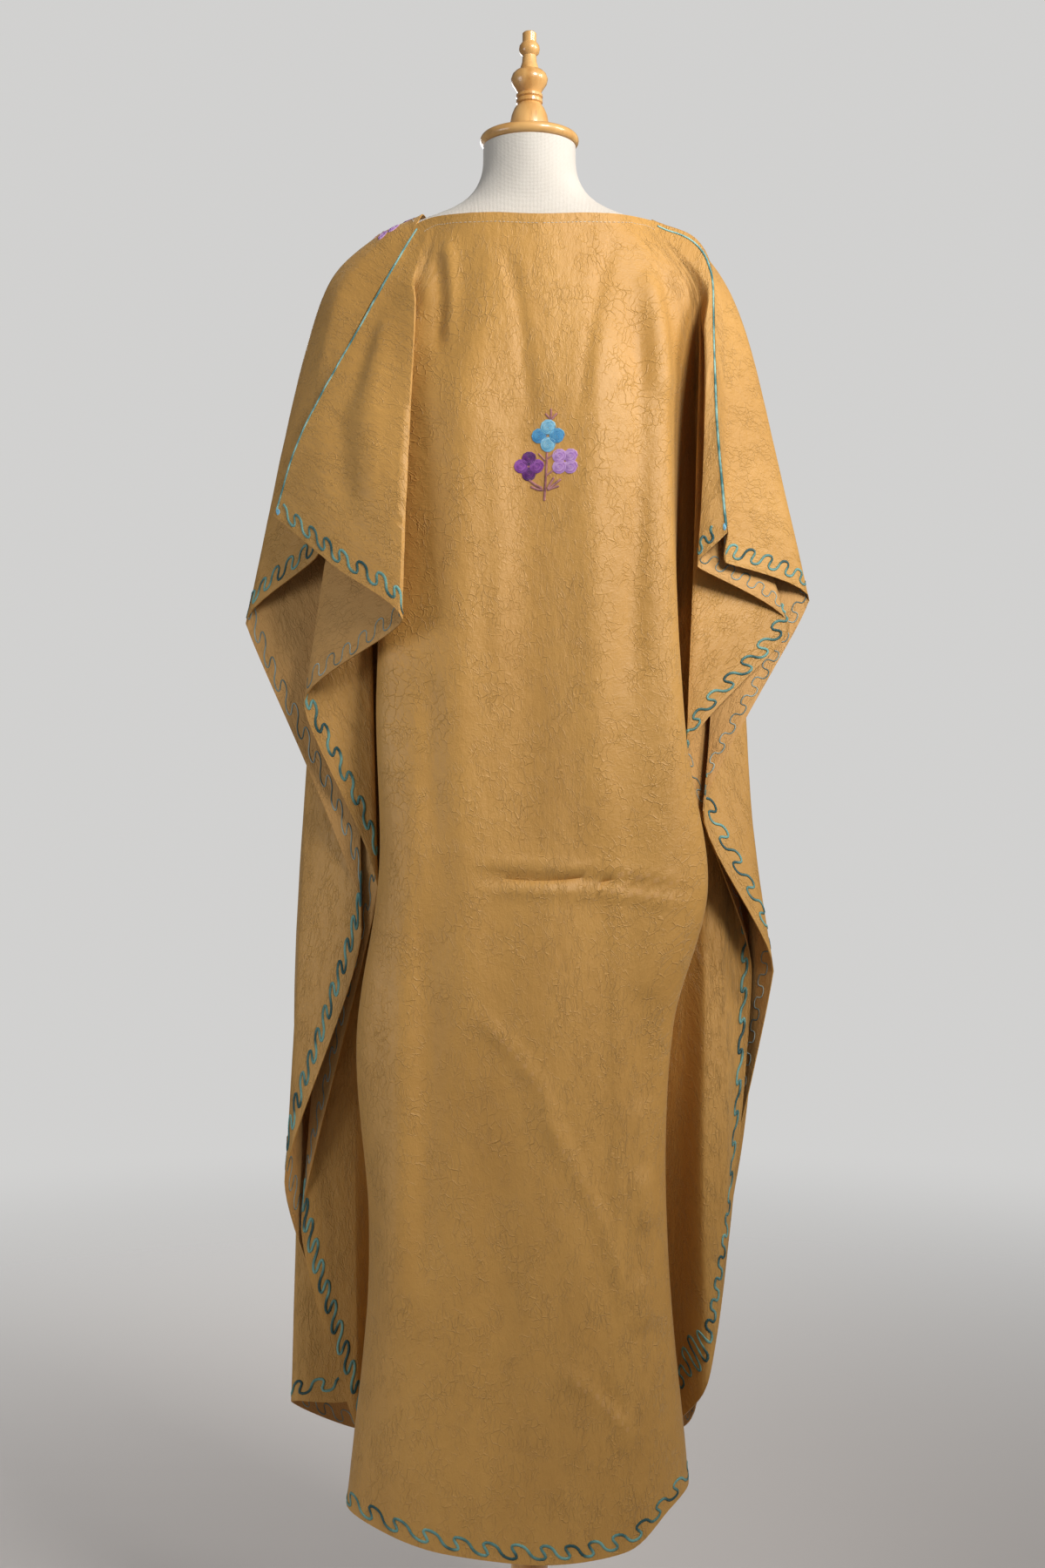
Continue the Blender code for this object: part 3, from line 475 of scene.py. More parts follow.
FRONT_FOLDS = (
    Fold(0.026, 0.0052, ((0.050, 1.480), (0.052, 1.300), (0.060, 1.050), (0.056, 0.860))),
    Fold(0.028, -0.0052, ((-0.010, 1.470), (-0.004, 1.280), (-0.006, 1.060), (0.004, 0.860))),
    Fold(0.024, 0.0056, ((-0.078, 1.520), (-0.070, 1.330), (-0.074, 1.080), (-0.070, 0.880))),
    Fold(0.013, -0.0048, ((0.104, 1.520), (0.112, 1.420), (0.116, 1.300))),
    Fold(0.0062, 0.0020, ((-0.120, 0.932), (0.020, 0.921), (0.130, 0.930))),
    Fold(0.0062, -0.0032, ((-0.118, 0.921), (0.020, 0.913), (0.128, 0.922))),
    Fold(0.0050, 0.0013, ((0.052, 1.150), (0.056, 0.880), (0.054, 0.560))),
    Fold(0.0062, 0.0034, ((-0.070, 0.780), (-0.024, 0.735), (0.012, 0.690), (0.034, 0.600))),
    Fold(0.0058, 0.0032, ((0.030, 0.480), (0.062, 0.440), (0.085, 0.390))),
    Fold(0.0060, 0.0032, ((-0.110, 0.560), (-0.082, 0.490), (-0.066, 0.420))),
    Fold(0.018, -0.0036, ((-0.040, 0.640), (-0.048, 0.450), (-0.050, 0.290))),
    Fold(0.018, 0.0036, ((0.092, 0.640), (0.098, 0.450), (0.100, 0.290))),
)


def shell_places(rays):
    """Places between rays for the shell's columns, closest round the middle of the panel."""
    places = [0.0]
    for fold, (inner, outer) in enumerate(zip(rays, rays[1:])):
        width = sqrt((outer.across - inner.across) ** 2 + (outer.drop - inner.drop) ** 2)
        count = max(5, round(width / (CENTRE_STEP if fold < CENTRE_FOLDS else SIDE_STEP)))
        places += [fold + (step + 1) / count for step in range(count)]
    return places


def edge_line():
    """The panel's outer edge in the flat cut, from the left seam end round the hem to the right one."""
    hem = []
    for step in range(17):
        across = HEM_HALF * (1 - step / 8)
        hem.append((across, CENTRE_DROP - HEM_SAG * (across / HEM_HALF) ** 2))
    left = [(SLEEVE_HALF, 0.0), (SLEEVE_HALF, SLEEVE_DEPTH)]
    right = [(-SLEEVE_HALF, SLEEVE_DEPTH), (-SLEEVE_HALF, 0.0)]
    return [Vector((across, drop, 0)) for across, drop in left + hem + right]


def distance_to_line(places, knots):
    """Distance of each place from a line through knots, and how far along it that is, from 0 to 1."""
    lengths = [np.linalg.norm(after - before) for before, after in zip(knots, knots[1:])]
    nearest = np.full(places.shape[:2], np.inf)
    where = np.zeros(places.shape[:2])
    run = 0.0
    for start, end, length in zip(knots, knots[1:], lengths):
        along = end - start
        share = np.clip(((places - start) @ along) / length ** 2, 0, 1)
        away = np.linalg.norm(places - start - share[..., None] * along, axis=-1)
        where = np.where(away < nearest, (run + share * length) / sum(lengths), where)
        nearest = np.minimum(away, nearest)
        run += length
    return nearest, where


def relief(points, flats, normals, from_neck, folds, facing_back):
    """Height of the folds and ripples over the smooth hung cloth, for each point of the grid."""
    height = np.zeros(points.shape[:2])
    faces_out = np.clip((normals[..., 1] if facing_back else -normals[..., 1]) * 3 - 0.6, 0, 1)
    depth = points[..., 1] if facing_back else -points[..., 1]
    middle = faces_out * np.clip((depth - 0.045) / 0.02, 0, 1)
    for fold in folds:
        away, share = distance_to_line(points[..., (0, 2)], [np.array(knot) for knot in fold.line])
        ends = np.clip(np.minimum(share, 1 - share) * 5, 0, 1)
        ends = ends * ends * (3 - 2 * ends)
        height += middle * ends * fold.height * np.exp(-((away / fold.width) ** 2))
    calm = np.clip(from_neck / CALM_FROM_NECK, 0.15, 1)
    for row in range(points.shape[0]):
        for column in range(points.shape[1]):
            across, drop = flats[row, column]
            wave = noise(Vector((across * 9, drop * 2.4, 1.7 if facing_back else 5.3)))
            small = noise(Vector((across * 34, drop * 13, 8.1)))
            ridge = 1 - abs(noise(Vector((across * 62, drop * 24, 3.3)))) * 3
            rise = LONG_RIPPLE * wave + SHORT_RIPPLE * small + FINE_RIDGE * max(ridge, 0)
            height[row, column] += calm[row, column] * rise
    return height


class Panel:
    """A hung panel: its shell's outer grid, and the way there from a place in the flat cut."""

    def __init__(self, necks, rays, facing_back, folds):
        point_sides = {}
        flat_sides = {}
        for side, turn in (("left", 1), ("right", -1)):
            half = Half(necks[side], SEAM[side], rays[side])
            places = shell_places(rays[side])
            rows = [half.row((step / SHELL_ROWS) ** TOP_CROWDING, places) for step in range(SHELL_ROWS + 1)]
            points = [[point for point, flat in row] for row in rows]
            open_seam(points, turn if facing_back else -turn)
            point_sides[side] = points
            flat_sides[side] = [[(flat.x * turn, flat.y) for point, flat in row] for row in rows]
        points = np.array([r[:0:-1] + l for l, r in zip(point_sides["left"], point_sides["right"])])
        flats = np.array([r[:0:-1] + l for l, r in zip(flat_sides["left"], flat_sides["right"])])
        across = np.gradient(points, axis=1)
        down = np.gradient(points, axis=0)
        normals = np.cross(across, down)
        normals /= np.linalg.norm(normals, axis=-1, keepdims=True)
        if not facing_back:
            normals = -normals

        from_neck = np.linalg.norm(flats - flats[0], axis=-1)
        from_edge, _ = distance_to_line(flats, [np.array(place.xy) for place in edge_line()])
        turned = np.clip((HEM_TURN - from_edge) * TURN_EDGE, 0, 1)
        turned = np.maximum(turned, np.clip((NECK_TURN - from_neck) * TURN_EDGE, 0, 1))
        rise = relief(points, flats, normals, from_neck, folds, facing_back)

        self.facing_back = facing_back
        self.flats = flats
        self.inner = points + normals * (CLOTH_LIFT + rise - turned * TURN_SINK)[..., None]
        self.outer = points + normals * (CLOTH_LIFT + CLOTH + rise + turned * TURN_RISE)[..., None]
        self.normals = normals
        self.columns = points.shape[1]
        self.triangles = []
        for row in range(SHELL_ROWS):
            for column in range(self.columns - 1):
                a = row * self.columns + column
                b = a + self.columns
                self.triangles += [(a, a + 1, b + 1), (a, b + 1, b)]
        flat_points = [(across, drop, 0.0) for across, drop in flats.reshape(-1, 2)]
        self.flat_points = [Vector(place) for place in flat_points]
        self.flat_tree = BVHTree.FromPolygons(flat_points, self.triangles)
        self.outer_points = [Vector(point) for point in self.outer.reshape(-1, 3)]
        self.inner_points = [Vector(point) for point in self.inner.reshape(-1, 3)]
        self.normal_points = [Vector(normal) for normal in normals.reshape(-1, 3)]
        self.outer_tree = BVHTree.FromPolygons(self.outer_points, self.triangles)

    def at(self, across, drop, inside=False):
        """The point on the cloth, and the way out of it, at a place in the flat cut."""
        place, _, index, _ = self.flat_tree.find_nearest(Vector((across, drop, 0)))
        corners = self.triangles[index]
        flat = [self.flat_points[i] for i in corners]
        points = self.inner_points if inside else self.outer_points
        point = barycentric_transform(place, *flat, *[points[i] for i in corners])
        normal = barycentric_transform(place, *flat, *[self.normal_points[i] for i in corners]).normalized()
        return point, -normal if inside else normal

    def seen_at(self, x, z):
        """The point on the cloth that is met from straight behind or before it."""
        start = Vector((x, 1.0 if self.facing_back else -1.0, z))
        way = Vector((0, -1.0 if self.facing_back else 1.0, 0))
        point, _, index, _ = self.outer_tree.ray_cast(start, way)
        corners = self.triangles[index]
        return point, sum((self.normal_points[i] for i in corners), Vector()).normalized()

    def shell(self, name):
        """The shell's mesh, with the flat cut in metres as its UV map."""
        count = len(self.outer_points)
        rows = SHELL_ROWS + 1
        ring = [(0, c) for c in range(self.columns - 1)]
        ring += [(r, self.columns - 1) for r in range(rows - 1)]
        ring += [(rows - 1, c) for c in range(self.columns - 1, 0, -1)]
        ring += [(r, 0) for r in range(rows - 1, 0, -1)]
        rim = [r * self.columns + c for r, c in ring]
        faces = []
        slots = []
        for row in range(SHELL_ROWS):
            for column in range(self.columns - 1):
                a = row * self.columns + column
                b = a + self.columns
                faces.append((a, a + 1, b + 1, b))
                faces.append((b + count, b + 1 + count, a + 1 + count, a + count))
                slots += [0, 1]
        for a, b in zip(rim, rim[1:] + rim[:1]):
            faces.append((b, a, a + count, b + count))
            slots.append(0)
        if not self.facing_back:
            faces = [face[::-1] for face in faces]
        mesh = bpy.data.meshes.new(name)
        mesh.from_pydata(self.outer_points + self.inner_points, [], faces)
        uv = mesh.uv_layers.new(name="cut")
        flats = np.concatenate([self.flats.reshape(-1, 2), self.flats.reshape(-1, 2)])
        corner_vertices = np.zeros(len(mesh.loops), dtype=np.int32)
        mesh.loops.foreach_get("vertex_index", corner_vertices)
        uv.data.foreach_set("uv", flats[corner_vertices].astype(np.float32).ravel())
        mesh.polygons.foreach_set("material_index", slots)
        piece = bpy.data.objects.new(name, mesh)
        bpy.context.scene.collection.objects.link(piece)
        smooth_by_angle(piece, 62)
        return piece


def smooth_by_angle(piece, degrees):
    """Smooth shading, with the edges that turn by more than an angle left crisp."""
    bpy.ops.object.select_all(action="DESELECT")
    piece.select_set(True)
    bpy.context.view_layer.objects.active = piece
    bpy.ops.object.shade_smooth_by_angle(angle=radians(degrees))


back = Panel(BACK_NECK, BACK_RAYS, True, BACK_FOLDS)
front = Panel(FRONT_NECK, FRONT_RAYS, False, FRONT_FOLDS)
back_cloth = back.shell("kaftan_back_cloth")
front_cloth = front.shell("kaftan_front_cloth")


# The silk is an ochre satin that was crushed while damp: a fine net of creases that run mostly
# with the length, a soft sheen, and an uneven hand-dyed tone, with painted shade darkening the crease
# lines. Its wrong side is duller.
SILK_RIGHT = (0.575, 0.308, 0.078, 1)
SILK_RIGHT_DEEP = (0.415, 0.206, 0.043, 1)
SILK_WRONG = (0.600, 0.330, 0.105, 1)
SILK_WRONG_DEEP = (0.480, 0.245, 0.068, 1)
CRUSH_DEPTH = 0.0021


def add_node(tree, kind, settings, inputs):
    """One node with its settings, and with values or other nodes' sockets on its inputs."""
    node = tree.nodes.new(kind)
    for key, value in settings.items():
        setattr(node, key, value)
    for key, value in inputs.items():
        if isinstance(value, bpy.types.NodeSocket):
            tree.links.new(value, node.inputs[key])
        else:
            node.inputs[key].default_value = value
    return node


def maths(tree, operation, first, second=0.0, clamp=False):
    settings = {"operation": operation, "use_clamp": clamp}
    return add_node(tree, "ShaderNodeMath", settings, {0: first, 1: second}).outputs[0]


def blend_colours(tree, share, first, second):
    """A colour between two, by a share that changes over the surface."""
    mix = add_node(tree, "ShaderNodeMix", {"data_type": "RGBA"}, {0: share, 6: first, 7: second})
    return mix.outputs[2]


def ramp(tree, value, low, high):
    """0 up to low, 1 from high, smooth in between."""
    settings = {"interpolation_type": "SMOOTHSTEP"}
    inputs = {"Value": value, "From Min": low, "From Max": high}
    return add_node(tree, "ShaderNodeMapRange", settings, inputs).outputs["Result"]


def new_group(name, inputs, outputs):
    """An empty shader node group with its sockets."""
    group = bpy.data.node_groups.new(name, "ShaderNodeTree")
    for label, kind, value in inputs:
        socket = group.interface.new_socket(label, in_out="INPUT", socket_type=kind)
        if value is not None:
            socket.default_value = value
    for label, kind in outputs:
        group.interface.new_socket(label, in_out="OUTPUT", socket_type=kind)
    return group, group.nodes.new("NodeGroupInput"), group.nodes.new("NodeGroupOutput")


def cloudy(tree, place, scale, detail=2.0, roughness=0.5):
    """Soft noise over the surface, between about 0 and 1."""
    inputs = {"Vector": place, "Scale": scale, "Detail": detail, "Roughness": roughness}
    return add_node(tree, "ShaderNodeTexNoise", {}, inputs).outputs["Fac"]


def raise_surface(tree, shader, height, strength, distance):
    """Bumps the shader's surface by a height that changes over it."""
    inputs = {"Strength": strength, "Distance": distance, "Height": height}
    bump = add_node(tree, "ShaderNodeBump", {}, inputs)
    tree.links.new(bump.outputs["Normal"], shader.inputs["Normal"])


def crease_lines(tree, place, scale, width):
    """Thin wandering ridges: 1 along the lines, 0 away from them."""
    wander = cloudy(tree, place, scale)
    off = maths(tree, "ABSOLUTE", maths(tree, "SUBTRACT", wander, 0.5))
    return maths(tree, "SUBTRACT", 1.0, ramp(tree, off, 0.0, width))


def patches(tree, place, scale, low, high):
    """Soft patches, 1 inside and 0 between them."""
    return ramp(tree, cloudy(tree, place, scale), low, high)


# Nets of crackle, the coarse one first: cells to a metre, line width, height, and patches to a metre
Crackle = namedtuple("Crackle", "scale width height spread")
CRACKLES = (
    Crackle(95.0, 0.050, 0.07, 30.0),
    Crackle(165.0, 0.070, 0.18, 42.0),
    Crackle(275.0, 0.100, 0.16, 66.0),
)
STRAY = 0.012
CREASE_WIDTH = 0.014
CREASE_HEIGHT = 0.09
DENT_HEIGHT = 0.80
CREPE_HEIGHT = 0.14


def crackle_net(group, place, turned, net):
    """One net of crackle that breaks off between patches."""
    settings = {"feature": "DISTANCE_TO_EDGE", "voronoi_dimensions": "2D"}
    inputs = {"Vector": place, "Scale": net.scale}
    away = add_node(group, "ShaderNodeTexVoronoi", settings, inputs).outputs["Distance"]
    line = maths(group, "SUBTRACT", 1.0, ramp(group, away, 0.0, net.width))
    line = maths(group, "MULTIPLY", line, patches(group, turned, net.spread, 0.44, 0.60))
    return maths(group, "MULTIPLY", line, net.height)


def crushed_group():
    """Heights and tones of crushed silk, from a place in the flat cut in metres."""
    group, start, end = new_group(
        "crushed silk",
        (("Place", "NodeSocketVector", None),),
        (("Height", "NodeSocketFloat"), ("Crease", "NodeSocketFloat"), ("Tone", "NodeSocketFloat")),
    )
    place = start.outputs["Place"]
    drawn_out = {"Vector": place, "Scale": (1.0, 0.42, 1.0)}
    long = add_node(group, "ShaderNodeMapping", {}, drawn_out).outputs[0]
    turned = add_node(group, "ShaderNodeMapping", {}, {
        "Vector": place, "Location": (3.1, 1.7, 0.0), "Rotation": (0.0, 0.0, 0.9), "Scale": (1.0, 0.5, 1.0),
    }).outputs[0]
    upright = crease_lines(group, long, 78.0, CREASE_WIDTH)
    upright = maths(group, "MULTIPLY", upright, patches(group, place, 30.0, 0.50, 0.62))
    slanted = crease_lines(group, turned, 70.0, CREASE_WIDTH)
    slanted = maths(group, "MULTIPLY", slanted, patches(group, turned, 26.0, 0.52, 0.64))
    crease = maths(group, "MAXIMUM", upright, slanted)
    wander = {"Vector": place, "Scale": 60.0, "Detail": 2.0}
    stray = add_node(group, "ShaderNodeTexNoise", {}, wander).outputs["Color"]
    drift = {0: stray, "Scale": STRAY}
    drift = add_node(group, "ShaderNodeVectorMath", {"operation": "SCALE"}, drift).outputs[0]
    strayed = add_node(group, "ShaderNodeVectorMath", {"operation": "ADD"}, {0: long, 1: drift}).outputs[0]
    high = maths(group, "MULTIPLY", crease, CREASE_HEIGHT)
    for net in CRACKLES:
        high = maths(group, "ADD", high, crackle_net(group, strayed, turned, net))
    dents = maths(group, "MULTIPLY", cloudy(group, long, 95.0, 5.0, 0.66), DENT_HEIGHT)
    crepe = maths(group, "MULTIPLY", cloudy(group, place, 520.0, 3.0, 0.6), CREPE_HEIGHT)
    high = maths(group, "ADD", maths(group, "ADD", high, dents), crepe)
    group.links.new(high, end.inputs["Height"])
    group.links.new(crease, end.inputs["Crease"])
    group.links.new(ramp(group, cloudy(group, long, 7.0, 5.0, 0.62), 0.28, 0.72), end.inputs["Tone"])
    return group


def new_material(name):
    made = bpy.data.materials.new(name)
    made.use_nodes = True
    return made, made.node_tree, made.node_tree.nodes["Principled BSDF"]


crushed = crushed_group()


def silk(name, colour, deep, roughness, sheen):
    made, tree, shader = new_material(name)
    cut = add_node(tree, "ShaderNodeUVMap", {"uv_map": "cut"}, {})
    cloth = add_node(tree, "ShaderNodeGroup", {"node_tree": crushed}, {"Place": cut.outputs["UV"]})
    worn = maths(tree, "MULTIPLY", cloth.outputs["Tone"], 0.55)
    # The random dyed tone, plus painted shade: the crease lines are painted darker toward the deep colour.
    shade = maths(tree, "ADD", worn, maths(tree, "MULTIPLY", cloth.outputs["Crease"], 0.16), clamp=True)
    tree.links.new(blend_colours(tree, shade, colour, deep), shader.inputs["Base Color"])
    rough = maths(tree, "ADD", roughness, maths(tree, "MULTIPLY", cloth.outputs["Tone"], 0.10))
    tree.links.new(rough, shader.inputs["Roughness"])
    raise_surface(tree, shader, cloth.outputs["Height"], 1.0, CRUSH_DEPTH)
    shader.inputs["Sheen Weight"].default_value = sheen
    shader.inputs["Sheen Roughness"].default_value = 0.35
    shader.inputs["Sheen Tint"].default_value = (1.0, 0.86, 0.62, 1)
    shader.inputs["Specular IOR Level"].default_value = 0.42
    return made


silk_right = silk("ochre_silk_right_side", SILK_RIGHT, SILK_RIGHT_DEEP, 0.46, 0.22)
silk_wrong = silk("ochre_silk_wrong_side", SILK_WRONG, SILK_WRONG_DEEP, 0.62, 0.12)
for cloth, node in ((back_cloth, "kaftan_back"), (front_cloth, "kaftan_front")):
    cloth.data.materials.append(silk_right)
    cloth.data.materials.append(silk_wrong)
    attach(cloth, "root")
    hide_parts(node)


# The border is hand-worked in variegated teal silk: a running scroll in chain stitch, a centimetre
# in from every side edge and hem. Its paler back shows faintly on the wrong side.
SCROLL_PITCH = 0.0290
SCROLL_HALF_HEIGHT = 0.0066
SCROLL_LEAN = 0.0100
SCROLL_CURL = 0.0024
SCROLL_INSET = 0.0125
SCROLL_START = 0.01
SCROLL_WANDER = 0.0012
SCROLL_POINTS = 44
CHAIN_PITCH = 0.0033
ROPE_WIDTH = 0.0034
ROPE_HEIGHT = 0.0015


def rope_mesh(name, strands, width, height, sides=6, chain=CHAIN_PITCH):
    """Flat-lying stitched ropes along strands of (point, way out of the cloth)."""
    vertices = []
    faces = []
    places = []
    for strand in strands:
        first = len(vertices)
        run = 0.0
        last = len(strand) - 1
        for i, (point, normal) in enumerate(strand):
            before = strand[max(i - 1, 0)][0]
            after = strand[min(i + 1, last)][0]
            if i:
                run += (point - before).length
            side = normal.cross(after - before).normalized()
            plump = 1 - 0.22 * abs(cos(pi * run / chain)) if chain else 1.0
            if i in (0, last):
                plump *= 0.5
            for k in range(sides):
                angle = 2 * pi * k / sides
                out = (0.15 + 0.5 * sin(angle)) * height * plump
                vertices.append(point + side * (cos(angle) * width / 2 * plump) + normal * out)
                places.append((run, k / sides))
        for i in range(last):
            for k in range(sides):
                a = first + i * sides + k
                b = first + i * sides + (k + 1) % sides
                faces.append((a, b, b + sides, a + sides))
        faces.append(tuple(first + k for k in range(sides - 1, -1, -1)))
        faces.append(tuple(first + last * sides + k for k in range(sides)))
    mesh = bpy.data.meshes.new(name)
    mesh.from_pydata(vertices, [], faces)
    uv = mesh.uv_layers.new(name="thread")
    for corner in mesh.loops:
        uv.data[corner.index].uv = places[corner.vertex_index]
    mesh.polygons.foreach_set("use_smooth", [len(face) == 4 for face in faces])
    return mesh


def stitched(name, strands, width, height, material, sides=6, chain=CHAIN_PITCH):
    """A piece of embroidery that rides on the garment."""
    piece = bpy.data.objects.new(name, rope_mesh(name, strands, width, height, sides, chain))
    bpy.context.scene.collection.objects.link(piece)
    piece.data.materials.append(material)
    bpy.ops.object.select_all(action="DESELECT")
    piece.select_set(True)
    bpy.context.view_layer.objects.active = piece
    bpy.ops.object.mode_set(mode="EDIT")
    bpy.ops.mesh.select_all(action="SELECT")
    bpy.ops.mesh.normals_make_consistent(inside=False)
    bpy.ops.object.mode_set(mode="OBJECT")
    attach(piece, "root")
    return piece


def thread_group():
    """Twist and tone of a silk thread, from the distance along it and round it."""
    group, start, end = new_group(
        "silk thread",
        (("Place", "NodeSocketVector", None), ("Change", "NodeSocketFloat", 20.0)),
        (("Height", "NodeSocketFloat"), ("Tone", "NodeSocketFloat")),
    )
    parts = add_node(group, "ShaderNodeSeparateXYZ", {}, {"Vector": start.outputs["Place"]})
    turns = maths(group, "ADD", maths(group, "MULTIPLY", parts.outputs["X"], 900.0), parts.outputs["Y"])
    twist = maths(group, "SINE", maths(group, "MULTIPLY", turns, 2 * pi))
    group.links.new(twist, end.inputs["Height"])
    along = maths(group, "MULTIPLY", parts.outputs["X"], start.outputs["Change"])
    dyeing = {"W": along, "Scale": 1.0, "Detail": 2.0}
    dye = add_node(group, "ShaderNodeTexNoise", {"noise_dimensions": "1D"}, dyeing)
    group.links.new(ramp(group, dye.outputs["Fac"], 0.36, 0.64), end.inputs["Tone"])
    return group


spun = thread_group()


def thread(name, dark, light, change=22.0):
    made, tree, shader = new_material(name)
    uv = add_node(tree, "ShaderNodeUVMap", {"uv_map": "thread"}, {})
    laid = {"Place": uv.outputs["UV"], "Change": change}
    yarn = add_node(tree, "ShaderNodeGroup", {"node_tree": spun}, laid)
    dyed = blend_colours(tree, yarn.outputs["Tone"], (*dark, 1), (*light, 1))
    tree.links.new(dyed, shader.inputs["Base Color"])
    raise_surface(tree, shader, yarn.outputs["Height"], 0.5, 0.0003)
    shader.inputs["Roughness"].default_value = 0.42
    shader.inputs["Sheen Weight"].default_value = 0.08
    return made


def edge_walk(step):
    """Evenly spaced places along the flat edge, each with the way in from the edge."""
    edge = edge_line()
    lengths = running_lengths(edge)
    count = int(lengths[-1] / step)
    walk = []
    i = 0
    for k in range(count + 1):
        at = min(k * step, lengths[-1] - 1e-6)
        while lengths[i + 1] < at:
            i += 1
        walk.append(edge[i].lerp(edge[i + 1], (at - lengths[i]) / (lengths[i + 1] - lengths[i])))
    reach = max(1, round(0.012 / step))
    places = []
    for k, place in enumerate(walk):
        along = (walk[min(k + reach, count)] - walk[max(k - reach, 0)]).normalized()
        places.append((place, Vector((along.y, -along.x, 0)) * -1))
    return places, count * step


def scroll_line():
    """The scroll's places in the flat cut, all round a panel's edge."""
    walk_step = 0.002
    walk, length = edge_walk(walk_step)
    waves = int((length - 2 * SCROLL_START) / SCROLL_PITCH)
    line = []
    for i in range(waves * SCROLL_POINTS + 1):
        turn = 2 * pi * i / SCROLL_POINTS
        along = SCROLL_START + SCROLL_PITCH * turn / (2 * pi)
        along += SCROLL_LEAN * (1 - cos(turn)) / 2 + SCROLL_CURL * sin(2 * turn)
        uneven = 1 + 0.14 * noise(Vector((along * 21, 4.2, 0)))
        inset = SCROLL_INSET + SCROLL_HALF_HEIGHT * uneven * cos(turn)
        inset += SCROLL_WANDER * noise(Vector((along * 13, 0, 7)))
        at = min(max(along / walk_step, 0), len(walk) - 1.001)
        before, into = walk[int(at)]
        after, _ = walk[int(at) + 1]
        place = before.lerp(after, at - int(at)) + into * inset
        line.append((place.x, place.y))
    return line


teal = thread("teal_thread", (0.012, 0.075, 0.080), (0.175, 0.400, 0.360))
reverse_grey = thread("thread_reverse", (0.13, 0.19, 0.17), (0.42, 0.50, 0.45))
scroll = scroll_line()
border_pieces = {}
for label, panel in (("back", back), ("front", front)):
    outside = [panel.at(across, drop) for across, drop in scroll]
    inside = [panel.at(across, drop, inside=True) for across, drop in scroll[::2]]
    border_pieces[label] = [
        stitched("border_" + label, [outside], ROPE_WIDTH, ROPE_HEIGHT, teal),
        stitched("border_reverse_" + label, [inside], 0.0016, 0.0006, reverse_grey, sides=4, chain=0.0),
    ]


# A line of teal and pale blue chain stitch covers each shoulder seam, from the neck to the sleeve's
# end, where it stops in a small rosette.
SEAM_INSET = 0.0024


def spiral(centre, radius, pitch, spot, detail=10):
    """A coiled strand that fills a disc, worked from the rim to the middle."""
    turns = max(radius / pitch, 1.0)
    steps = int(turns * detail) + 2
    strand = []
    for i in range(steps + 1):
        share = i / steps
        angle = 2 * pi * turns * share
        reach = (radius - pitch / 2) * (1 - share) + pitch * 0.15
        strand.append(spot(centre[0] + reach * cos(angle), centre[1] + reach * sin(angle)))
    return strand


pale_teal = thread("pale_teal_thread", (0.05, 0.20, 0.21), (0.30, 0.56, 0.52), change=40.0)
sky = thread("sky_thread", (0.10, 0.36, 0.58), (0.26, 0.58, 0.76), change=60.0)
seam_strands = []
rosettes = []
for turn in (1, -1):
    steps = 180
    line = []
    for i in range(steps + 1):
        across = NECK_HALF + 0.004 + (SLEEVE_HALF - 0.006 - NECK_HALF - 0.004) * i / steps
        sway = 0.0005 * noise(Vector((across * 60, turn, 0)))
        line.append(back.at(across * turn, SEAM_INSET + sway))
    seam_strands.append(line)
    rosettes.append(spiral((turn * (SLEEVE_HALF - 0.007), 0.0055), 0.0038, 0.0015, back.at))
border_pieces["back"].append(stitched("seam_lines", seam_strands, 0.0030, 0.0016, pale_teal))
border_pieces["back"].append(stitched("seam_rosettes", rosettes, 0.0017, 0.0014, sky))


# A small posy is worked in the middle of the back: three flowers of coiled chain stitch in blue,
# purple and lilac on a mauve stem. Its places are millimetres to the right and up, as one sees it.
POSY_X = -0.0156
POSY_Z = 1.3370
Bloom = namedtuple("Bloom", "colour right up radius")
Flower = namedtuple("Flower", "upright_colour side_colour right up reach petal turn")
POSY_FLOWERS = (
    Flower("light blue", "mid blue", 3, 17.5, 9, 8.5, 0),
    Flower("dark purple", "mid purple", -16.5, -13.5, 8, 8, 0),
    Flower("lilac", "lilac", 20, -9, 8, 8, 45),
)
Stroke = namedtuple("Stroke", "points width")
POSY_STROKES = (
    Stroke(((6, 46), (6, 34)), 2.6),
    Stroke(((0, 41), (6, 34)), 2.6),
    Stroke(((12, 41), (6, 34)), 2.6),
    Stroke(((2, 2), (1, -17), (0, -33), (-1, -49)), 3.0),
    Stroke(((-7, 0), (0, -8)), 2.2),
    Stroke(((12, 2), (1, -7)), 2.2),
    Stroke(((0, -24), (8, -18)), 2.2),
    Stroke(((-17, -27), (-9, -33), (-3, -36)), 3.4),
    Stroke(((-15, -34), (-8, -37), (-2, -38)), 3.4),
    Stroke(((2, -37), (9, -25)), 3.0),
    Stroke(((2, -38), (16, -27)), 3.0),
    Stroke(((2, -38), (14, -34)), 3.0),
)


def four_petals(flowers):
    """Four round petals about each flower's middle, upright and side ones in turn."""
    petals = []
    for flower in flowers:
        for quarter in range(4):
            angle = radians(flower.turn + 90 * quarter)
            colour = flower.side_colour if quarter % 2 == 0 else flower.upright_colour
            right = flower.right + flower.reach * cos(angle)
            petals.append(Bloom(colour, right, flower.up + flower.reach * sin(angle), flower.petal))
    return petals


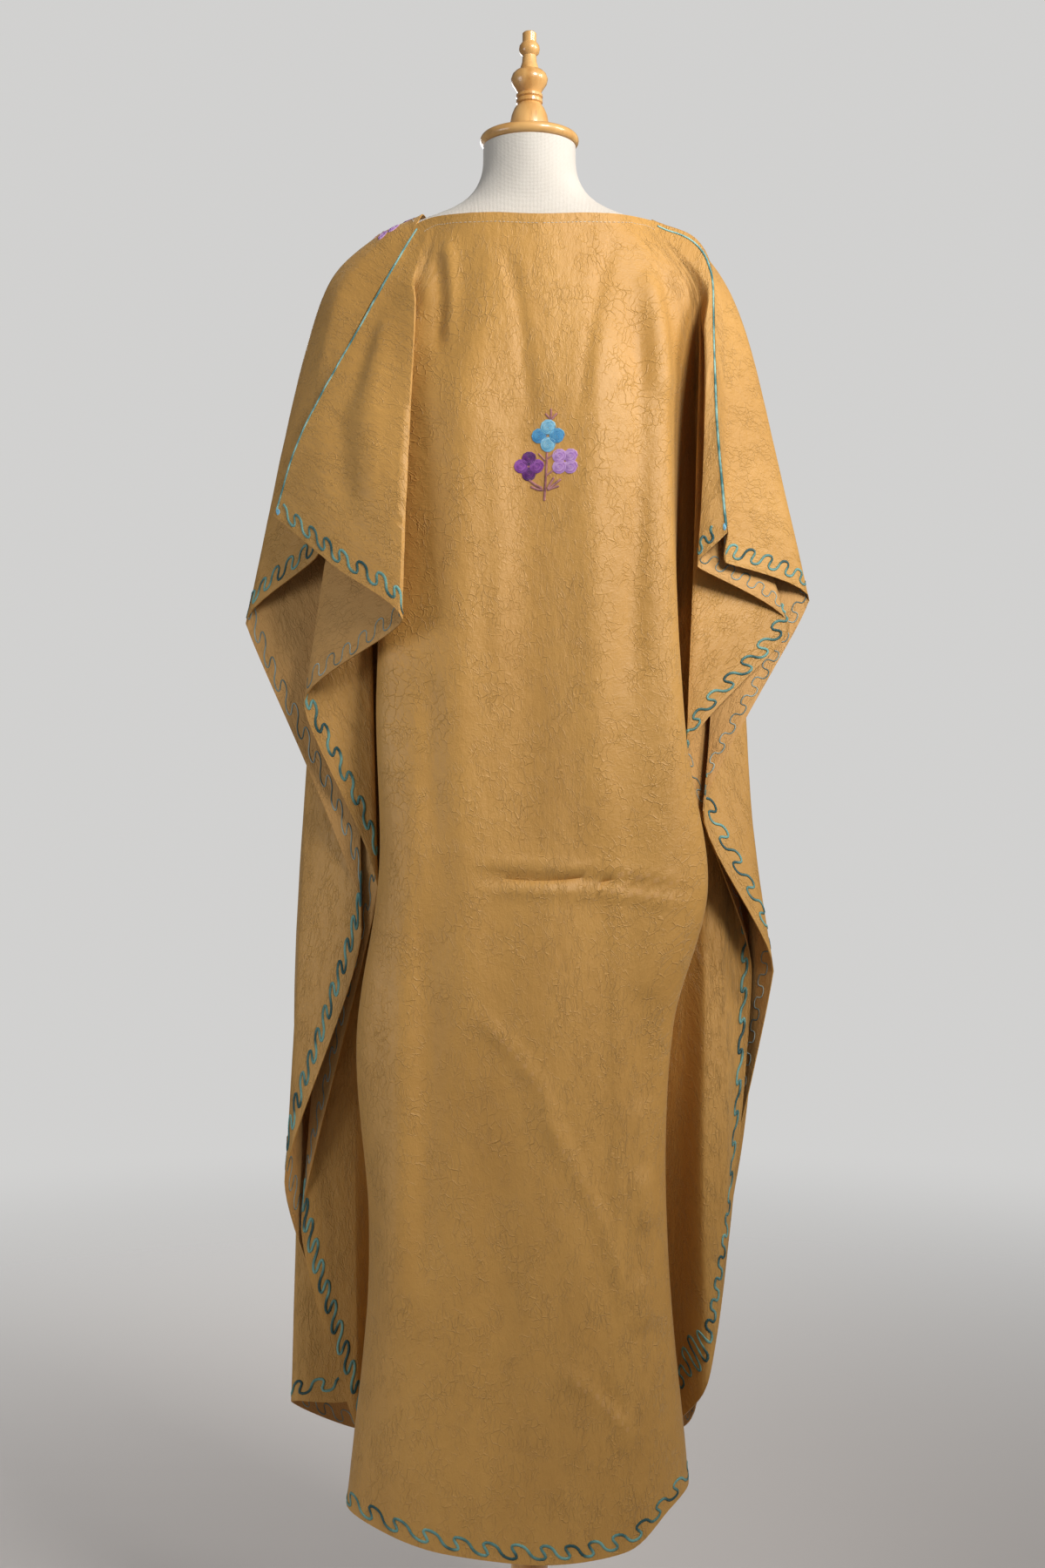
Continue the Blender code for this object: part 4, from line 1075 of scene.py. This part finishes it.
blooms = {
    "light blue": thread("light_blue_thread", (0.14, 0.44, 0.66), (0.36, 0.68, 0.84), change=80.0),
    "mid blue": thread("mid_blue_thread", (0.05, 0.27, 0.55), (0.12, 0.42, 0.68), change=80.0),
    "dark purple": thread("dark_purple_thread", (0.075, 0.008, 0.110), (0.16, 0.020, 0.21), change=80.0),
    "mid purple": thread("mid_purple_thread", (0.18, 0.030, 0.25), (0.36, 0.10, 0.45), change=80.0),
    "lilac": thread("lilac_thread", (0.42, 0.19, 0.55), (0.66, 0.42, 0.74), change=80.0),
}
mauve = thread("mauve_thread", (0.20, 0.065, 0.075), (0.42, 0.17, 0.17), change=90.0)


def dense_line(points, step):
    """A smooth line through a few places, with a point every step."""
    knots = [Vector((x, y, 0)) for x, y in points]
    lengths = running_lengths(knots)
    count = max(2, round(lengths[-1] / step))
    return [smooth_curve(lengths, knots, lengths[-1] * i / count) for i in range(count + 1)]


MILLIMETRE = 0.001


def embroider(prefix, spot, bloom_rows, stroke_rows):
    """Works the flowers and stems of a motif through spot, which puts a place on the cloth."""
    unit = MILLIMETRE
    pieces = []
    for colour in sorted({bloom.colour for bloom in bloom_rows}):
        coils = [
            spiral((bloom.right * unit, bloom.up * unit), bloom.radius * unit, 0.00155, spot)
            for bloom in bloom_rows if bloom.colour == colour
        ]
        name = prefix + "_" + colour.replace(" ", "_")
        pieces.append(stitched(name, coils, 0.0018, 0.0014, blooms[colour], sides=5, chain=0.0022))
    for width in sorted({stroke.width for stroke in stroke_rows}):
        lines = []
        for stroke in stroke_rows:
            if stroke.width == width:
                scaled = [(x * unit, y * unit) for x, y in stroke.points]
                lines.append([spot(place.x, place.y) for place in dense_line(scaled, 0.0009)])
        name = prefix + "_stems_" + str(round(width * 10))
        pieces.append(stitched(name, lines, width * unit, 0.0013, mauve, sides=5, chain=0.0026))
    return pieces


def on_back_middle(right, up):
    return back.seen_at(POSY_X - right, POSY_Z + up)


posy_pieces = embroider("posy", on_back_middle, four_petals(POSY_FLOWERS), POSY_STROKES)


# Fuller sprays of the same flowers hang down both sides of the front neckline. The photograph
# shows only their tips over the shoulders, so the rest is a plain spray of the posy's own flowers.
SPRAY_ACROSS = 0.150
SPRAY_DROP = 0.026
SPRAY_BLOOMS = (
    Bloom("lilac", 0.0, 0.0, 7.0),
    Bloom("lilac", 11.0, -6.0, 6.5),
    Bloom("dark purple", -17.0, -3.0, 6.5),
    Bloom("mid blue", -12.0, -42.0, 7.0),
    Bloom("light blue", -1.0, -49.0, 7.0),
    Bloom("light blue", -21.0, -53.0, 7.0),
    Bloom("mid blue", -10.0, -60.0, 7.0),
    Bloom("dark purple", -34.0, -88.0, 6.5),
    Bloom("mid purple", -23.0, -94.0, 6.5),
    Bloom("mid purple", -43.0, -98.0, 6.5),
    Bloom("dark purple", -32.0, -104.0, 6.5),
    Bloom("lilac", -56.0, -133.0, 6.5),
    Bloom("lilac", -46.0, -140.0, 6.5),
    Bloom("lilac", -66.0, -142.0, 6.5),
    Bloom("lilac", -56.0, -149.0, 6.5),
)
SPRAY_STROKES = (
    Stroke(((-6.0, -8.0), (-3.0, -28.0), (-20.0, -74.0), (-44.0, -116.0), (-78.0, -172.0)), 3.0),
    Stroke(((8.0, -12.0), (4.0, -22.0), (-4.0, -34.0)), 3.0),
    Stroke(((16.0, -20.0), (6.0, -27.0), (-4.0, -36.0)), 3.0),
    Stroke(((10.0, -72.0), (0.0, -76.0), (-14.0, -70.0)), 3.0),
    Stroke(((4.0, -84.0), (-6.0, -84.0), (-18.0, -76.0)), 3.0),
    Stroke(((-20.0, -122.0), (-30.0, -122.0), (-42.0, -114.0)), 3.0),
    Stroke(((-26.0, -134.0), (-36.0, -130.0), (-44.0, -118.0)), 3.0),
    Stroke(((-56.0, -172.0), (-64.0, -168.0), (-70.0, -160.0)), 3.0),
    Stroke(((-92.0, -158.0), (-84.0, -158.0), (-72.0, -162.0)), 3.0),
)


def on_front_left(right, up):
    return front.at(SPRAY_ACROSS + right, SPRAY_DROP - up)


def on_front_right(right, up):
    return front.at(-SPRAY_ACROSS - right, SPRAY_DROP - up)


spray_pieces = embroider("spray_left", on_front_left, SPRAY_BLOOMS, SPRAY_STROKES)
spray_pieces += embroider("spray_right", on_front_right, SPRAY_BLOOMS, SPRAY_STROKES)


# The neckline is turned in once and held by a machine topstitch in pale thread, a centimetre
# below the fold.
STITCH_LENGTH = 0.0030
STITCH_GAP = 0.0012
pale_thread = thread("pale_sewing_thread", (0.55, 0.47, 0.35), (0.78, 0.72, 0.60), change=30.0)


def topstitch(panel, necks):
    """Short straight stitches along the neckline of one panel."""
    stitches = []
    for side, turn in (("left", 1), ("right", -1)):
        half = Half(necks[side], SEAM[side], ())
        length = half.top_places[half.corner]
        at = STITCH_GAP
        while at + STITCH_LENGTH < length:
            stitch = []
            for share in (0.0, 0.5, 1.0):
                here = smooth_curve(half.top_places, half.top_flat, at + share * STITCH_LENGTH)
                ahead = smooth_curve(half.top_places, half.top_flat, at + share * STITCH_LENGTH + 0.002)
                along = (ahead - here).normalized()
                place = here + Vector((-along.y, along.x, 0)) * NECK_TURN * 0.95
                stitch.append(panel.at(place.x * turn, place.y))
            stitches.append(stitch)
            at += STITCH_LENGTH + STITCH_GAP
    return stitches


neck_pieces = {
    "back": stitched("neck_stitch_back", topstitch(back, BACK_NECK), 0.0008, 0.0007, pale_thread, 4, 0.0),
    "front": stitched("neck_stitch_front", topstitch(front, FRONT_NECK), 0.0008, 0.0007, pale_thread, 4, 0.0),
}


# The dress form is a hard moulded torso without limbs under close-fitting cream linen. The kaftan
# hangs from its shoulders and stands clear of it below them.
FORM_HEIGHTS_SHOWN = 90
FORM_SIDES_SHOWN = 96
LINEN = (0.72, 0.68, 0.61, 1)
LINEN_SOILED = (0.58, 0.52, 0.45, 1)

linen, tree, shader = new_material("cream_linen")
spots = add_node(tree, "ShaderNodeTexCoord", {}, {}).outputs["Object"]
slubs = cloudy(tree, spots, 300.0, 4.0, 0.7)
soil = cloudy(tree, spots, 9.0, 4.0)
yarns = []
for axis in ("X", "Z"):
    bands = add_node(tree, "ShaderNodeTexWave", {"bands_direction": axis},
                     {"Vector": spots, "Scale": 260.0, "Distortion": 1.2, "Detail": 1.0, "Detail Scale": 2.0})
    yarns.append(bands.outputs["Fac"])
woven = maths(tree, "MULTIPLY", maths(tree, "ADD", yarns[0], yarns[1]), 0.5)
shade = maths(tree, "ADD", maths(tree, "MULTIPLY", ramp(tree, soil, 0.35, 0.7), 0.5),
              maths(tree, "MULTIPLY", slubs, 0.35), clamp=True)
tree.links.new(blend_colours(tree, shade, LINEN, LINEN_SOILED), shader.inputs["Base Color"])
raise_surface(tree, shader, maths(tree, "ADD", woven, slubs), 0.7, 0.0006)
shader.inputs["Roughness"].default_value = 0.85
shader.inputs["Sheen Weight"].default_value = 0.15

vertices = []
for row in range(FORM_HEIGHTS_SHOWN + 1):
    height = FORM_BOTTOM + (FORM_TOP - FORM_BOTTOM) * (1 - (1 - row / FORM_HEIGHTS_SHOWN) ** 1.3)
    half_width, deep_back, deep_front = form_size(height)
    tuck = 0.93 if row == 0 else 1.0
    for side in range(FORM_SIDES_SHOWN):
        angle = 2 * pi * side / FORM_SIDES_SHOWN
        depth = deep_back if sin(angle) > 0 else deep_front
        vertices.append((tuck * half_width * cos(angle), tuck * depth * sin(angle), height))
faces = []
for row in range(FORM_HEIGHTS_SHOWN):
    for side in range(FORM_SIDES_SHOWN):
        a = row * FORM_SIDES_SHOWN + side
        b = row * FORM_SIDES_SHOWN + (side + 1) % FORM_SIDES_SHOWN
        faces.append((a, b, b + FORM_SIDES_SHOWN, a + FORM_SIDES_SHOWN))
faces.append(tuple(range(FORM_SIDES_SHOWN - 1, -1, -1)))
faces.append(tuple(FORM_HEIGHTS_SHOWN * FORM_SIDES_SHOWN + side for side in range(FORM_SIDES_SHOWN)))
form_mesh = bpy.data.meshes.new("dress_form")
form_mesh.from_pydata(vertices, [], faces)
form = bpy.data.objects.new("dress_form", form_mesh)
bpy.context.scene.collection.objects.link(form)
form.data.materials.append(linen)
smooth_by_angle(form, 50)
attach(form, "root")
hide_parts("form_torso")


# The cap, finial, pole and round base are turned from honey-coloured hardwood and varnished to a
# gloss. Each is its profile, extruded point by point and spun round the upright axis.
TURNED_STEPS = 96
WOOD_PALE = (0.78, 0.46, 0.165, 1)
WOOD_DEEP = (0.54, 0.265, 0.070, 1)
WOOD_PORE = (0.30, 0.125, 0.030, 1)
FIT = 0.0003
CAP_RADIUS = 0.0535
CAP_THICK = 0.0122
POLE_RADIUS = 0.020
POLE_EDGE = 0.0015
BASE_RADIUS = 0.180
BASE_THICK = 0.026
COLLAR_RADIUS = 0.034
COLLAR_HEIGHT = 0.030

# Turned profiles: height above the piece's foot, radius, from the top down
TurnRow = namedtuple("TurnRow", "height radius")
FINIAL_ROWS = (
    TurnRow(0.1120, 0.0000),
    TurnRow(0.1120, 0.0058),
    TurnRow(0.1105, 0.0075),
    TurnRow(0.1012, 0.0075),
    TurnRow(0.1000, 0.0085),
    TurnRow(0.0970, 0.0107),
    TurnRow(0.0930, 0.0113),
    TurnRow(0.0890, 0.0103),
    TurnRow(0.0862, 0.0074),
    TurnRow(0.0790, 0.0080),
    TurnRow(0.0705, 0.0108),
    TurnRow(0.0694, 0.0148),
    TurnRow(0.0660, 0.0182),
    TurnRow(0.0610, 0.0200),
    TurnRow(0.0560, 0.0190),
    TurnRow(0.0500, 0.0150),
    TurnRow(0.0452, 0.0122),
    TurnRow(0.0440, 0.0142),
    TurnRow(0.0412, 0.0145),
    TurnRow(0.0398, 0.0128),
    TurnRow(0.0384, 0.0142),
    TurnRow(0.0352, 0.0144),
    TurnRow(0.0338, 0.0126),
    TurnRow(0.0290, 0.0162),
    TurnRow(0.0220, 0.0192),
    TurnRow(0.0120, 0.0212),
    TurnRow(0.0000, 0.0218),
    TurnRow(0.0000, 0.0000),
)


def rounded_disc(radius, thick, edge, steps=5):
    """Profile of a disc whose outer edge is a quarter round above and below."""
    rows = [TurnRow(thick, 0.0)]
    for i in range(steps + 1):
        angle = pi / 2 * i / steps
        rows.append(TurnRow(thick - edge + edge * cos(angle), radius - edge + edge * sin(angle)))
    for i in range(steps + 1):
        angle = pi / 2 * i / steps
        rows.append(TurnRow(edge - edge * sin(angle), radius - edge + edge * cos(angle)))
    rows.append(TurnRow(0.0, 0.0))
    kept = [rows[0]]
    for row in rows[1:]:
        if abs(row.height - kept[-1].height) > 1e-6 or abs(row.radius - kept[-1].radius) > 1e-6:
            kept.append(row)
    return kept


def base_profile():
    """A round wooden foot with a rolled top edge and a raised collar round the pole."""
    rows = [
        TurnRow(BASE_THICK + COLLAR_HEIGHT, 0.0),
        TurnRow(BASE_THICK + COLLAR_HEIGHT, COLLAR_RADIUS - 0.006),
        TurnRow(BASE_THICK + COLLAR_HEIGHT - 0.005, COLLAR_RADIUS - 0.002),
        TurnRow(BASE_THICK + 0.012, COLLAR_RADIUS),
        TurnRow(BASE_THICK + 0.004, COLLAR_RADIUS + 0.005),
        TurnRow(BASE_THICK, COLLAR_RADIUS + 0.014),
    ]
    edge = BASE_THICK * 0.45
    for i in range(6):
        angle = pi / 2 * i / 5
        rows.append(TurnRow(
            BASE_THICK - edge + edge * cos(angle), BASE_RADIUS - edge + edge * sin(angle)
        ))
    rows.append(TurnRow(0.004, BASE_RADIUS))
    rows.append(TurnRow(0.0, BASE_RADIUS - 0.004))
    rows.append(TurnRow(0.0, 0.0))
    return rows


def wood(name, stretch):
    """Varnished hardwood whose grain runs along the axis that stretch is smallest on."""
    made, tree, shader = new_material(name)
    places = add_node(tree, "ShaderNodeTexCoord", {}, {}).outputs["Object"]
    grain = add_node(tree, "ShaderNodeMapping", {}, {"Vector": places, "Scale": stretch}).outputs["Vector"]
    figure = {"Vector": grain, "Scale": 1.0, "Detail": 6.0, "Roughness": 0.55, "Distortion": 0.6}
    bands = add_node(tree, "ShaderNodeTexNoise", {}, figure)
    pores = cloudy(tree, grain, 7.0)
    tone = ramp(tree, bands.outputs["Fac"], 0.32, 0.70)
    colour = blend_colours(tree, tone, WOOD_PALE, WOOD_DEEP)
    dark = maths(tree, "MULTIPLY", ramp(tree, pores, 0.60, 0.72), 0.35)
    tree.links.new(blend_colours(tree, dark, colour, WOOD_PORE), shader.inputs["Base Color"])
    rough = maths(tree, "ADD", 0.30, maths(tree, "MULTIPLY", pores, 0.15))
    tree.links.new(rough, shader.inputs["Roughness"])
    raise_surface(tree, shader, pores, 0.25, 0.0004)
    shader.inputs["Coat Weight"].default_value = 0.6
    shader.inputs["Coat Roughness"].default_value = 0.12
    return made


def turned_piece(name, rows, foot, finish):
    """A lathe-turned piece from its profile, which runs from the top down."""
    bpy.ops.object.select_all(action="DESELECT")
    bpy.ops.mesh.primitive_plane_add(size=0.01, location=(0, 0, 0))
    piece = bpy.context.object
    piece.name = name
    piece.data.name = name
    bpy.ops.object.mode_set(mode="EDIT")
    bpy.ops.mesh.select_all(action="SELECT")
    bpy.ops.mesh.merge(type="CENTER")
    bpy.ops.transform.translate(value=(rows[0].radius, 0, rows[0].height + foot))
    for before, after in zip(rows, rows[1:]):
        step = (after.radius - before.radius, 0, after.height - before.height)
        bpy.ops.mesh.extrude_vertices_move(TRANSFORM_OT_translate={"value": step})
    bpy.ops.mesh.select_all(action="SELECT")
    bpy.ops.mesh.spin(steps=TURNED_STEPS, angle=2 * pi, center=(0, 0, 0), axis=(0, 0, 1))
    bpy.ops.mesh.select_all(action="SELECT")
    bpy.ops.mesh.remove_doubles(threshold=0.00001)
    bpy.ops.mesh.normals_make_consistent(inside=False)
    bpy.ops.object.mode_set(mode="OBJECT")
    smooth_by_angle(piece, 38)
    piece.data.materials.append(finish)
    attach(piece, "root")
    return piece


upright_wood = wood("honey_wood_upright", (42.0, 42.0, 5.0))
flat_wood = wood("honey_wood_flat", (5.0, 36.0, 36.0))
collar_top = BASE_THICK + COLLAR_HEIGHT
pole_length = FORM_BOTTOM - FIT - (collar_top + FIT)
finial = turned_piece("turned_finial", FINIAL_ROWS, FORM_TOP + CAP_THICK + 2 * FIT, upright_wood)
cap_rows = rounded_disc(CAP_RADIUS, CAP_THICK, CAP_THICK / 2)
cap = turned_piece("turned_neck_cap", cap_rows, FORM_TOP + FIT, flat_wood)
pole_rows = rounded_disc(POLE_RADIUS, pole_length, POLE_EDGE)
pole = turned_piece("turned_pole", pole_rows, collar_top + FIT, upright_wood)
base = turned_piece("turned_base", base_profile(), 0.0, flat_wood)
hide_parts("finial")
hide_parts("neck_cap")
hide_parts("stand_pole")
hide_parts("stand_base")


# The studio is a plain pale floor that fades into an even pale grey. A large soft light stands high
# to the right as one sees the back, with a small one beside that arm, a weak one on the left, and
# one for the front.
FLOOR_SIZE = 14.0
FLOOR_FADE_FROM = 0.6
FLOOR_FADE_TO = 3.3
ROOM_GREY = (0.640, 0.636, 0.628, 1)
ROOM_LIGHT = (0.92, 0.95, 1.0, 1)
ROOM_STRENGTH = 0.13

bpy.ops.mesh.primitive_plane_add(size=FLOOR_SIZE, location=(0, 0, -0.0005))
floor = bpy.context.object
floor.name = "studio_floor"
floor_finish, tree, shader = new_material("pale_floor")
places = add_node(tree, "ShaderNodeTexCoord", {}, {}).outputs["Object"]
away = add_node(tree, "ShaderNodeVectorMath", {"operation": "LENGTH"}, {0: places}).outputs["Value"]
faded = maths(tree, "SUBTRACT", 1.0, ramp(tree, away, FLOOR_FADE_FROM, FLOOR_FADE_TO))
tree.links.new(faded, shader.inputs["Alpha"])
shader.inputs["Base Color"].default_value = (0.600, 0.570, 0.548, 1)
shader.inputs["Roughness"].default_value = 0.9
floor.data.materials.append(floor_finish)

world = bpy.data.worlds.new("studio")
world.use_nodes = True
tree = world.node_tree
tree.nodes["Background"].inputs["Color"].default_value = ROOM_LIGHT
tree.nodes["Background"].inputs["Strength"].default_value = ROOM_STRENGTH
seen = add_node(tree, "ShaderNodeBackground", {}, {"Color": ROOM_GREY, "Strength": 1.0})
rays = add_node(tree, "ShaderNodeLightPath", {}, {})
both = add_node(tree, "ShaderNodeMixShader", {}, {
    0: rays.outputs["Is Camera Ray"], 1: tree.nodes["Background"].outputs[0], 2: seen.outputs[0],
})
tree.links.new(both.outputs[0], tree.nodes["World Output"].inputs["Surface"])
bpy.context.scene.world = world
bpy.context.scene.view_settings.view_transform = "Standard"

SoftLight = namedtuple("SoftLight", "name place aim size spread power colour")
LIGHTS = (
    SoftLight("key_softbox", (-1.35, 1.80, 2.60), (0.0, 0.0, 1.72), 0.8, 105, 22.5, (1.0, 0.975, 0.945)),
    SoftLight("side_softbox", (-1.80, 0.50, 2.20), (-0.1, 0.0, 1.50), 0.7, 70, 4.0, (1.0, 0.98, 0.96)),
    SoftLight("fill_softbox", (2.30, 1.20, 1.15), (0.0, 0.0, 1.0), 1.1, 150, 12.5, (0.94, 0.97, 1.0)),
    SoftLight("front_softbox", (0.50, -2.50, 1.80), (0.0, 0.0, 1.1), 1.2, 180, 34.0, (1.0, 0.98, 0.96)),
)
for light in LIGHTS:
    way = Vector(light.aim) - Vector(light.place)
    turn = way.to_track_quat("-Z", "Y").to_euler()
    bpy.ops.object.light_add(type="AREA", location=light.place, rotation=turn)
    lamp = bpy.context.object
    lamp.name = light.name
    lamp.data.size = light.size
    lamp.data.spread = radians(light.spread)
    lamp.data.energy = light.power
    lamp.data.color = light.colour
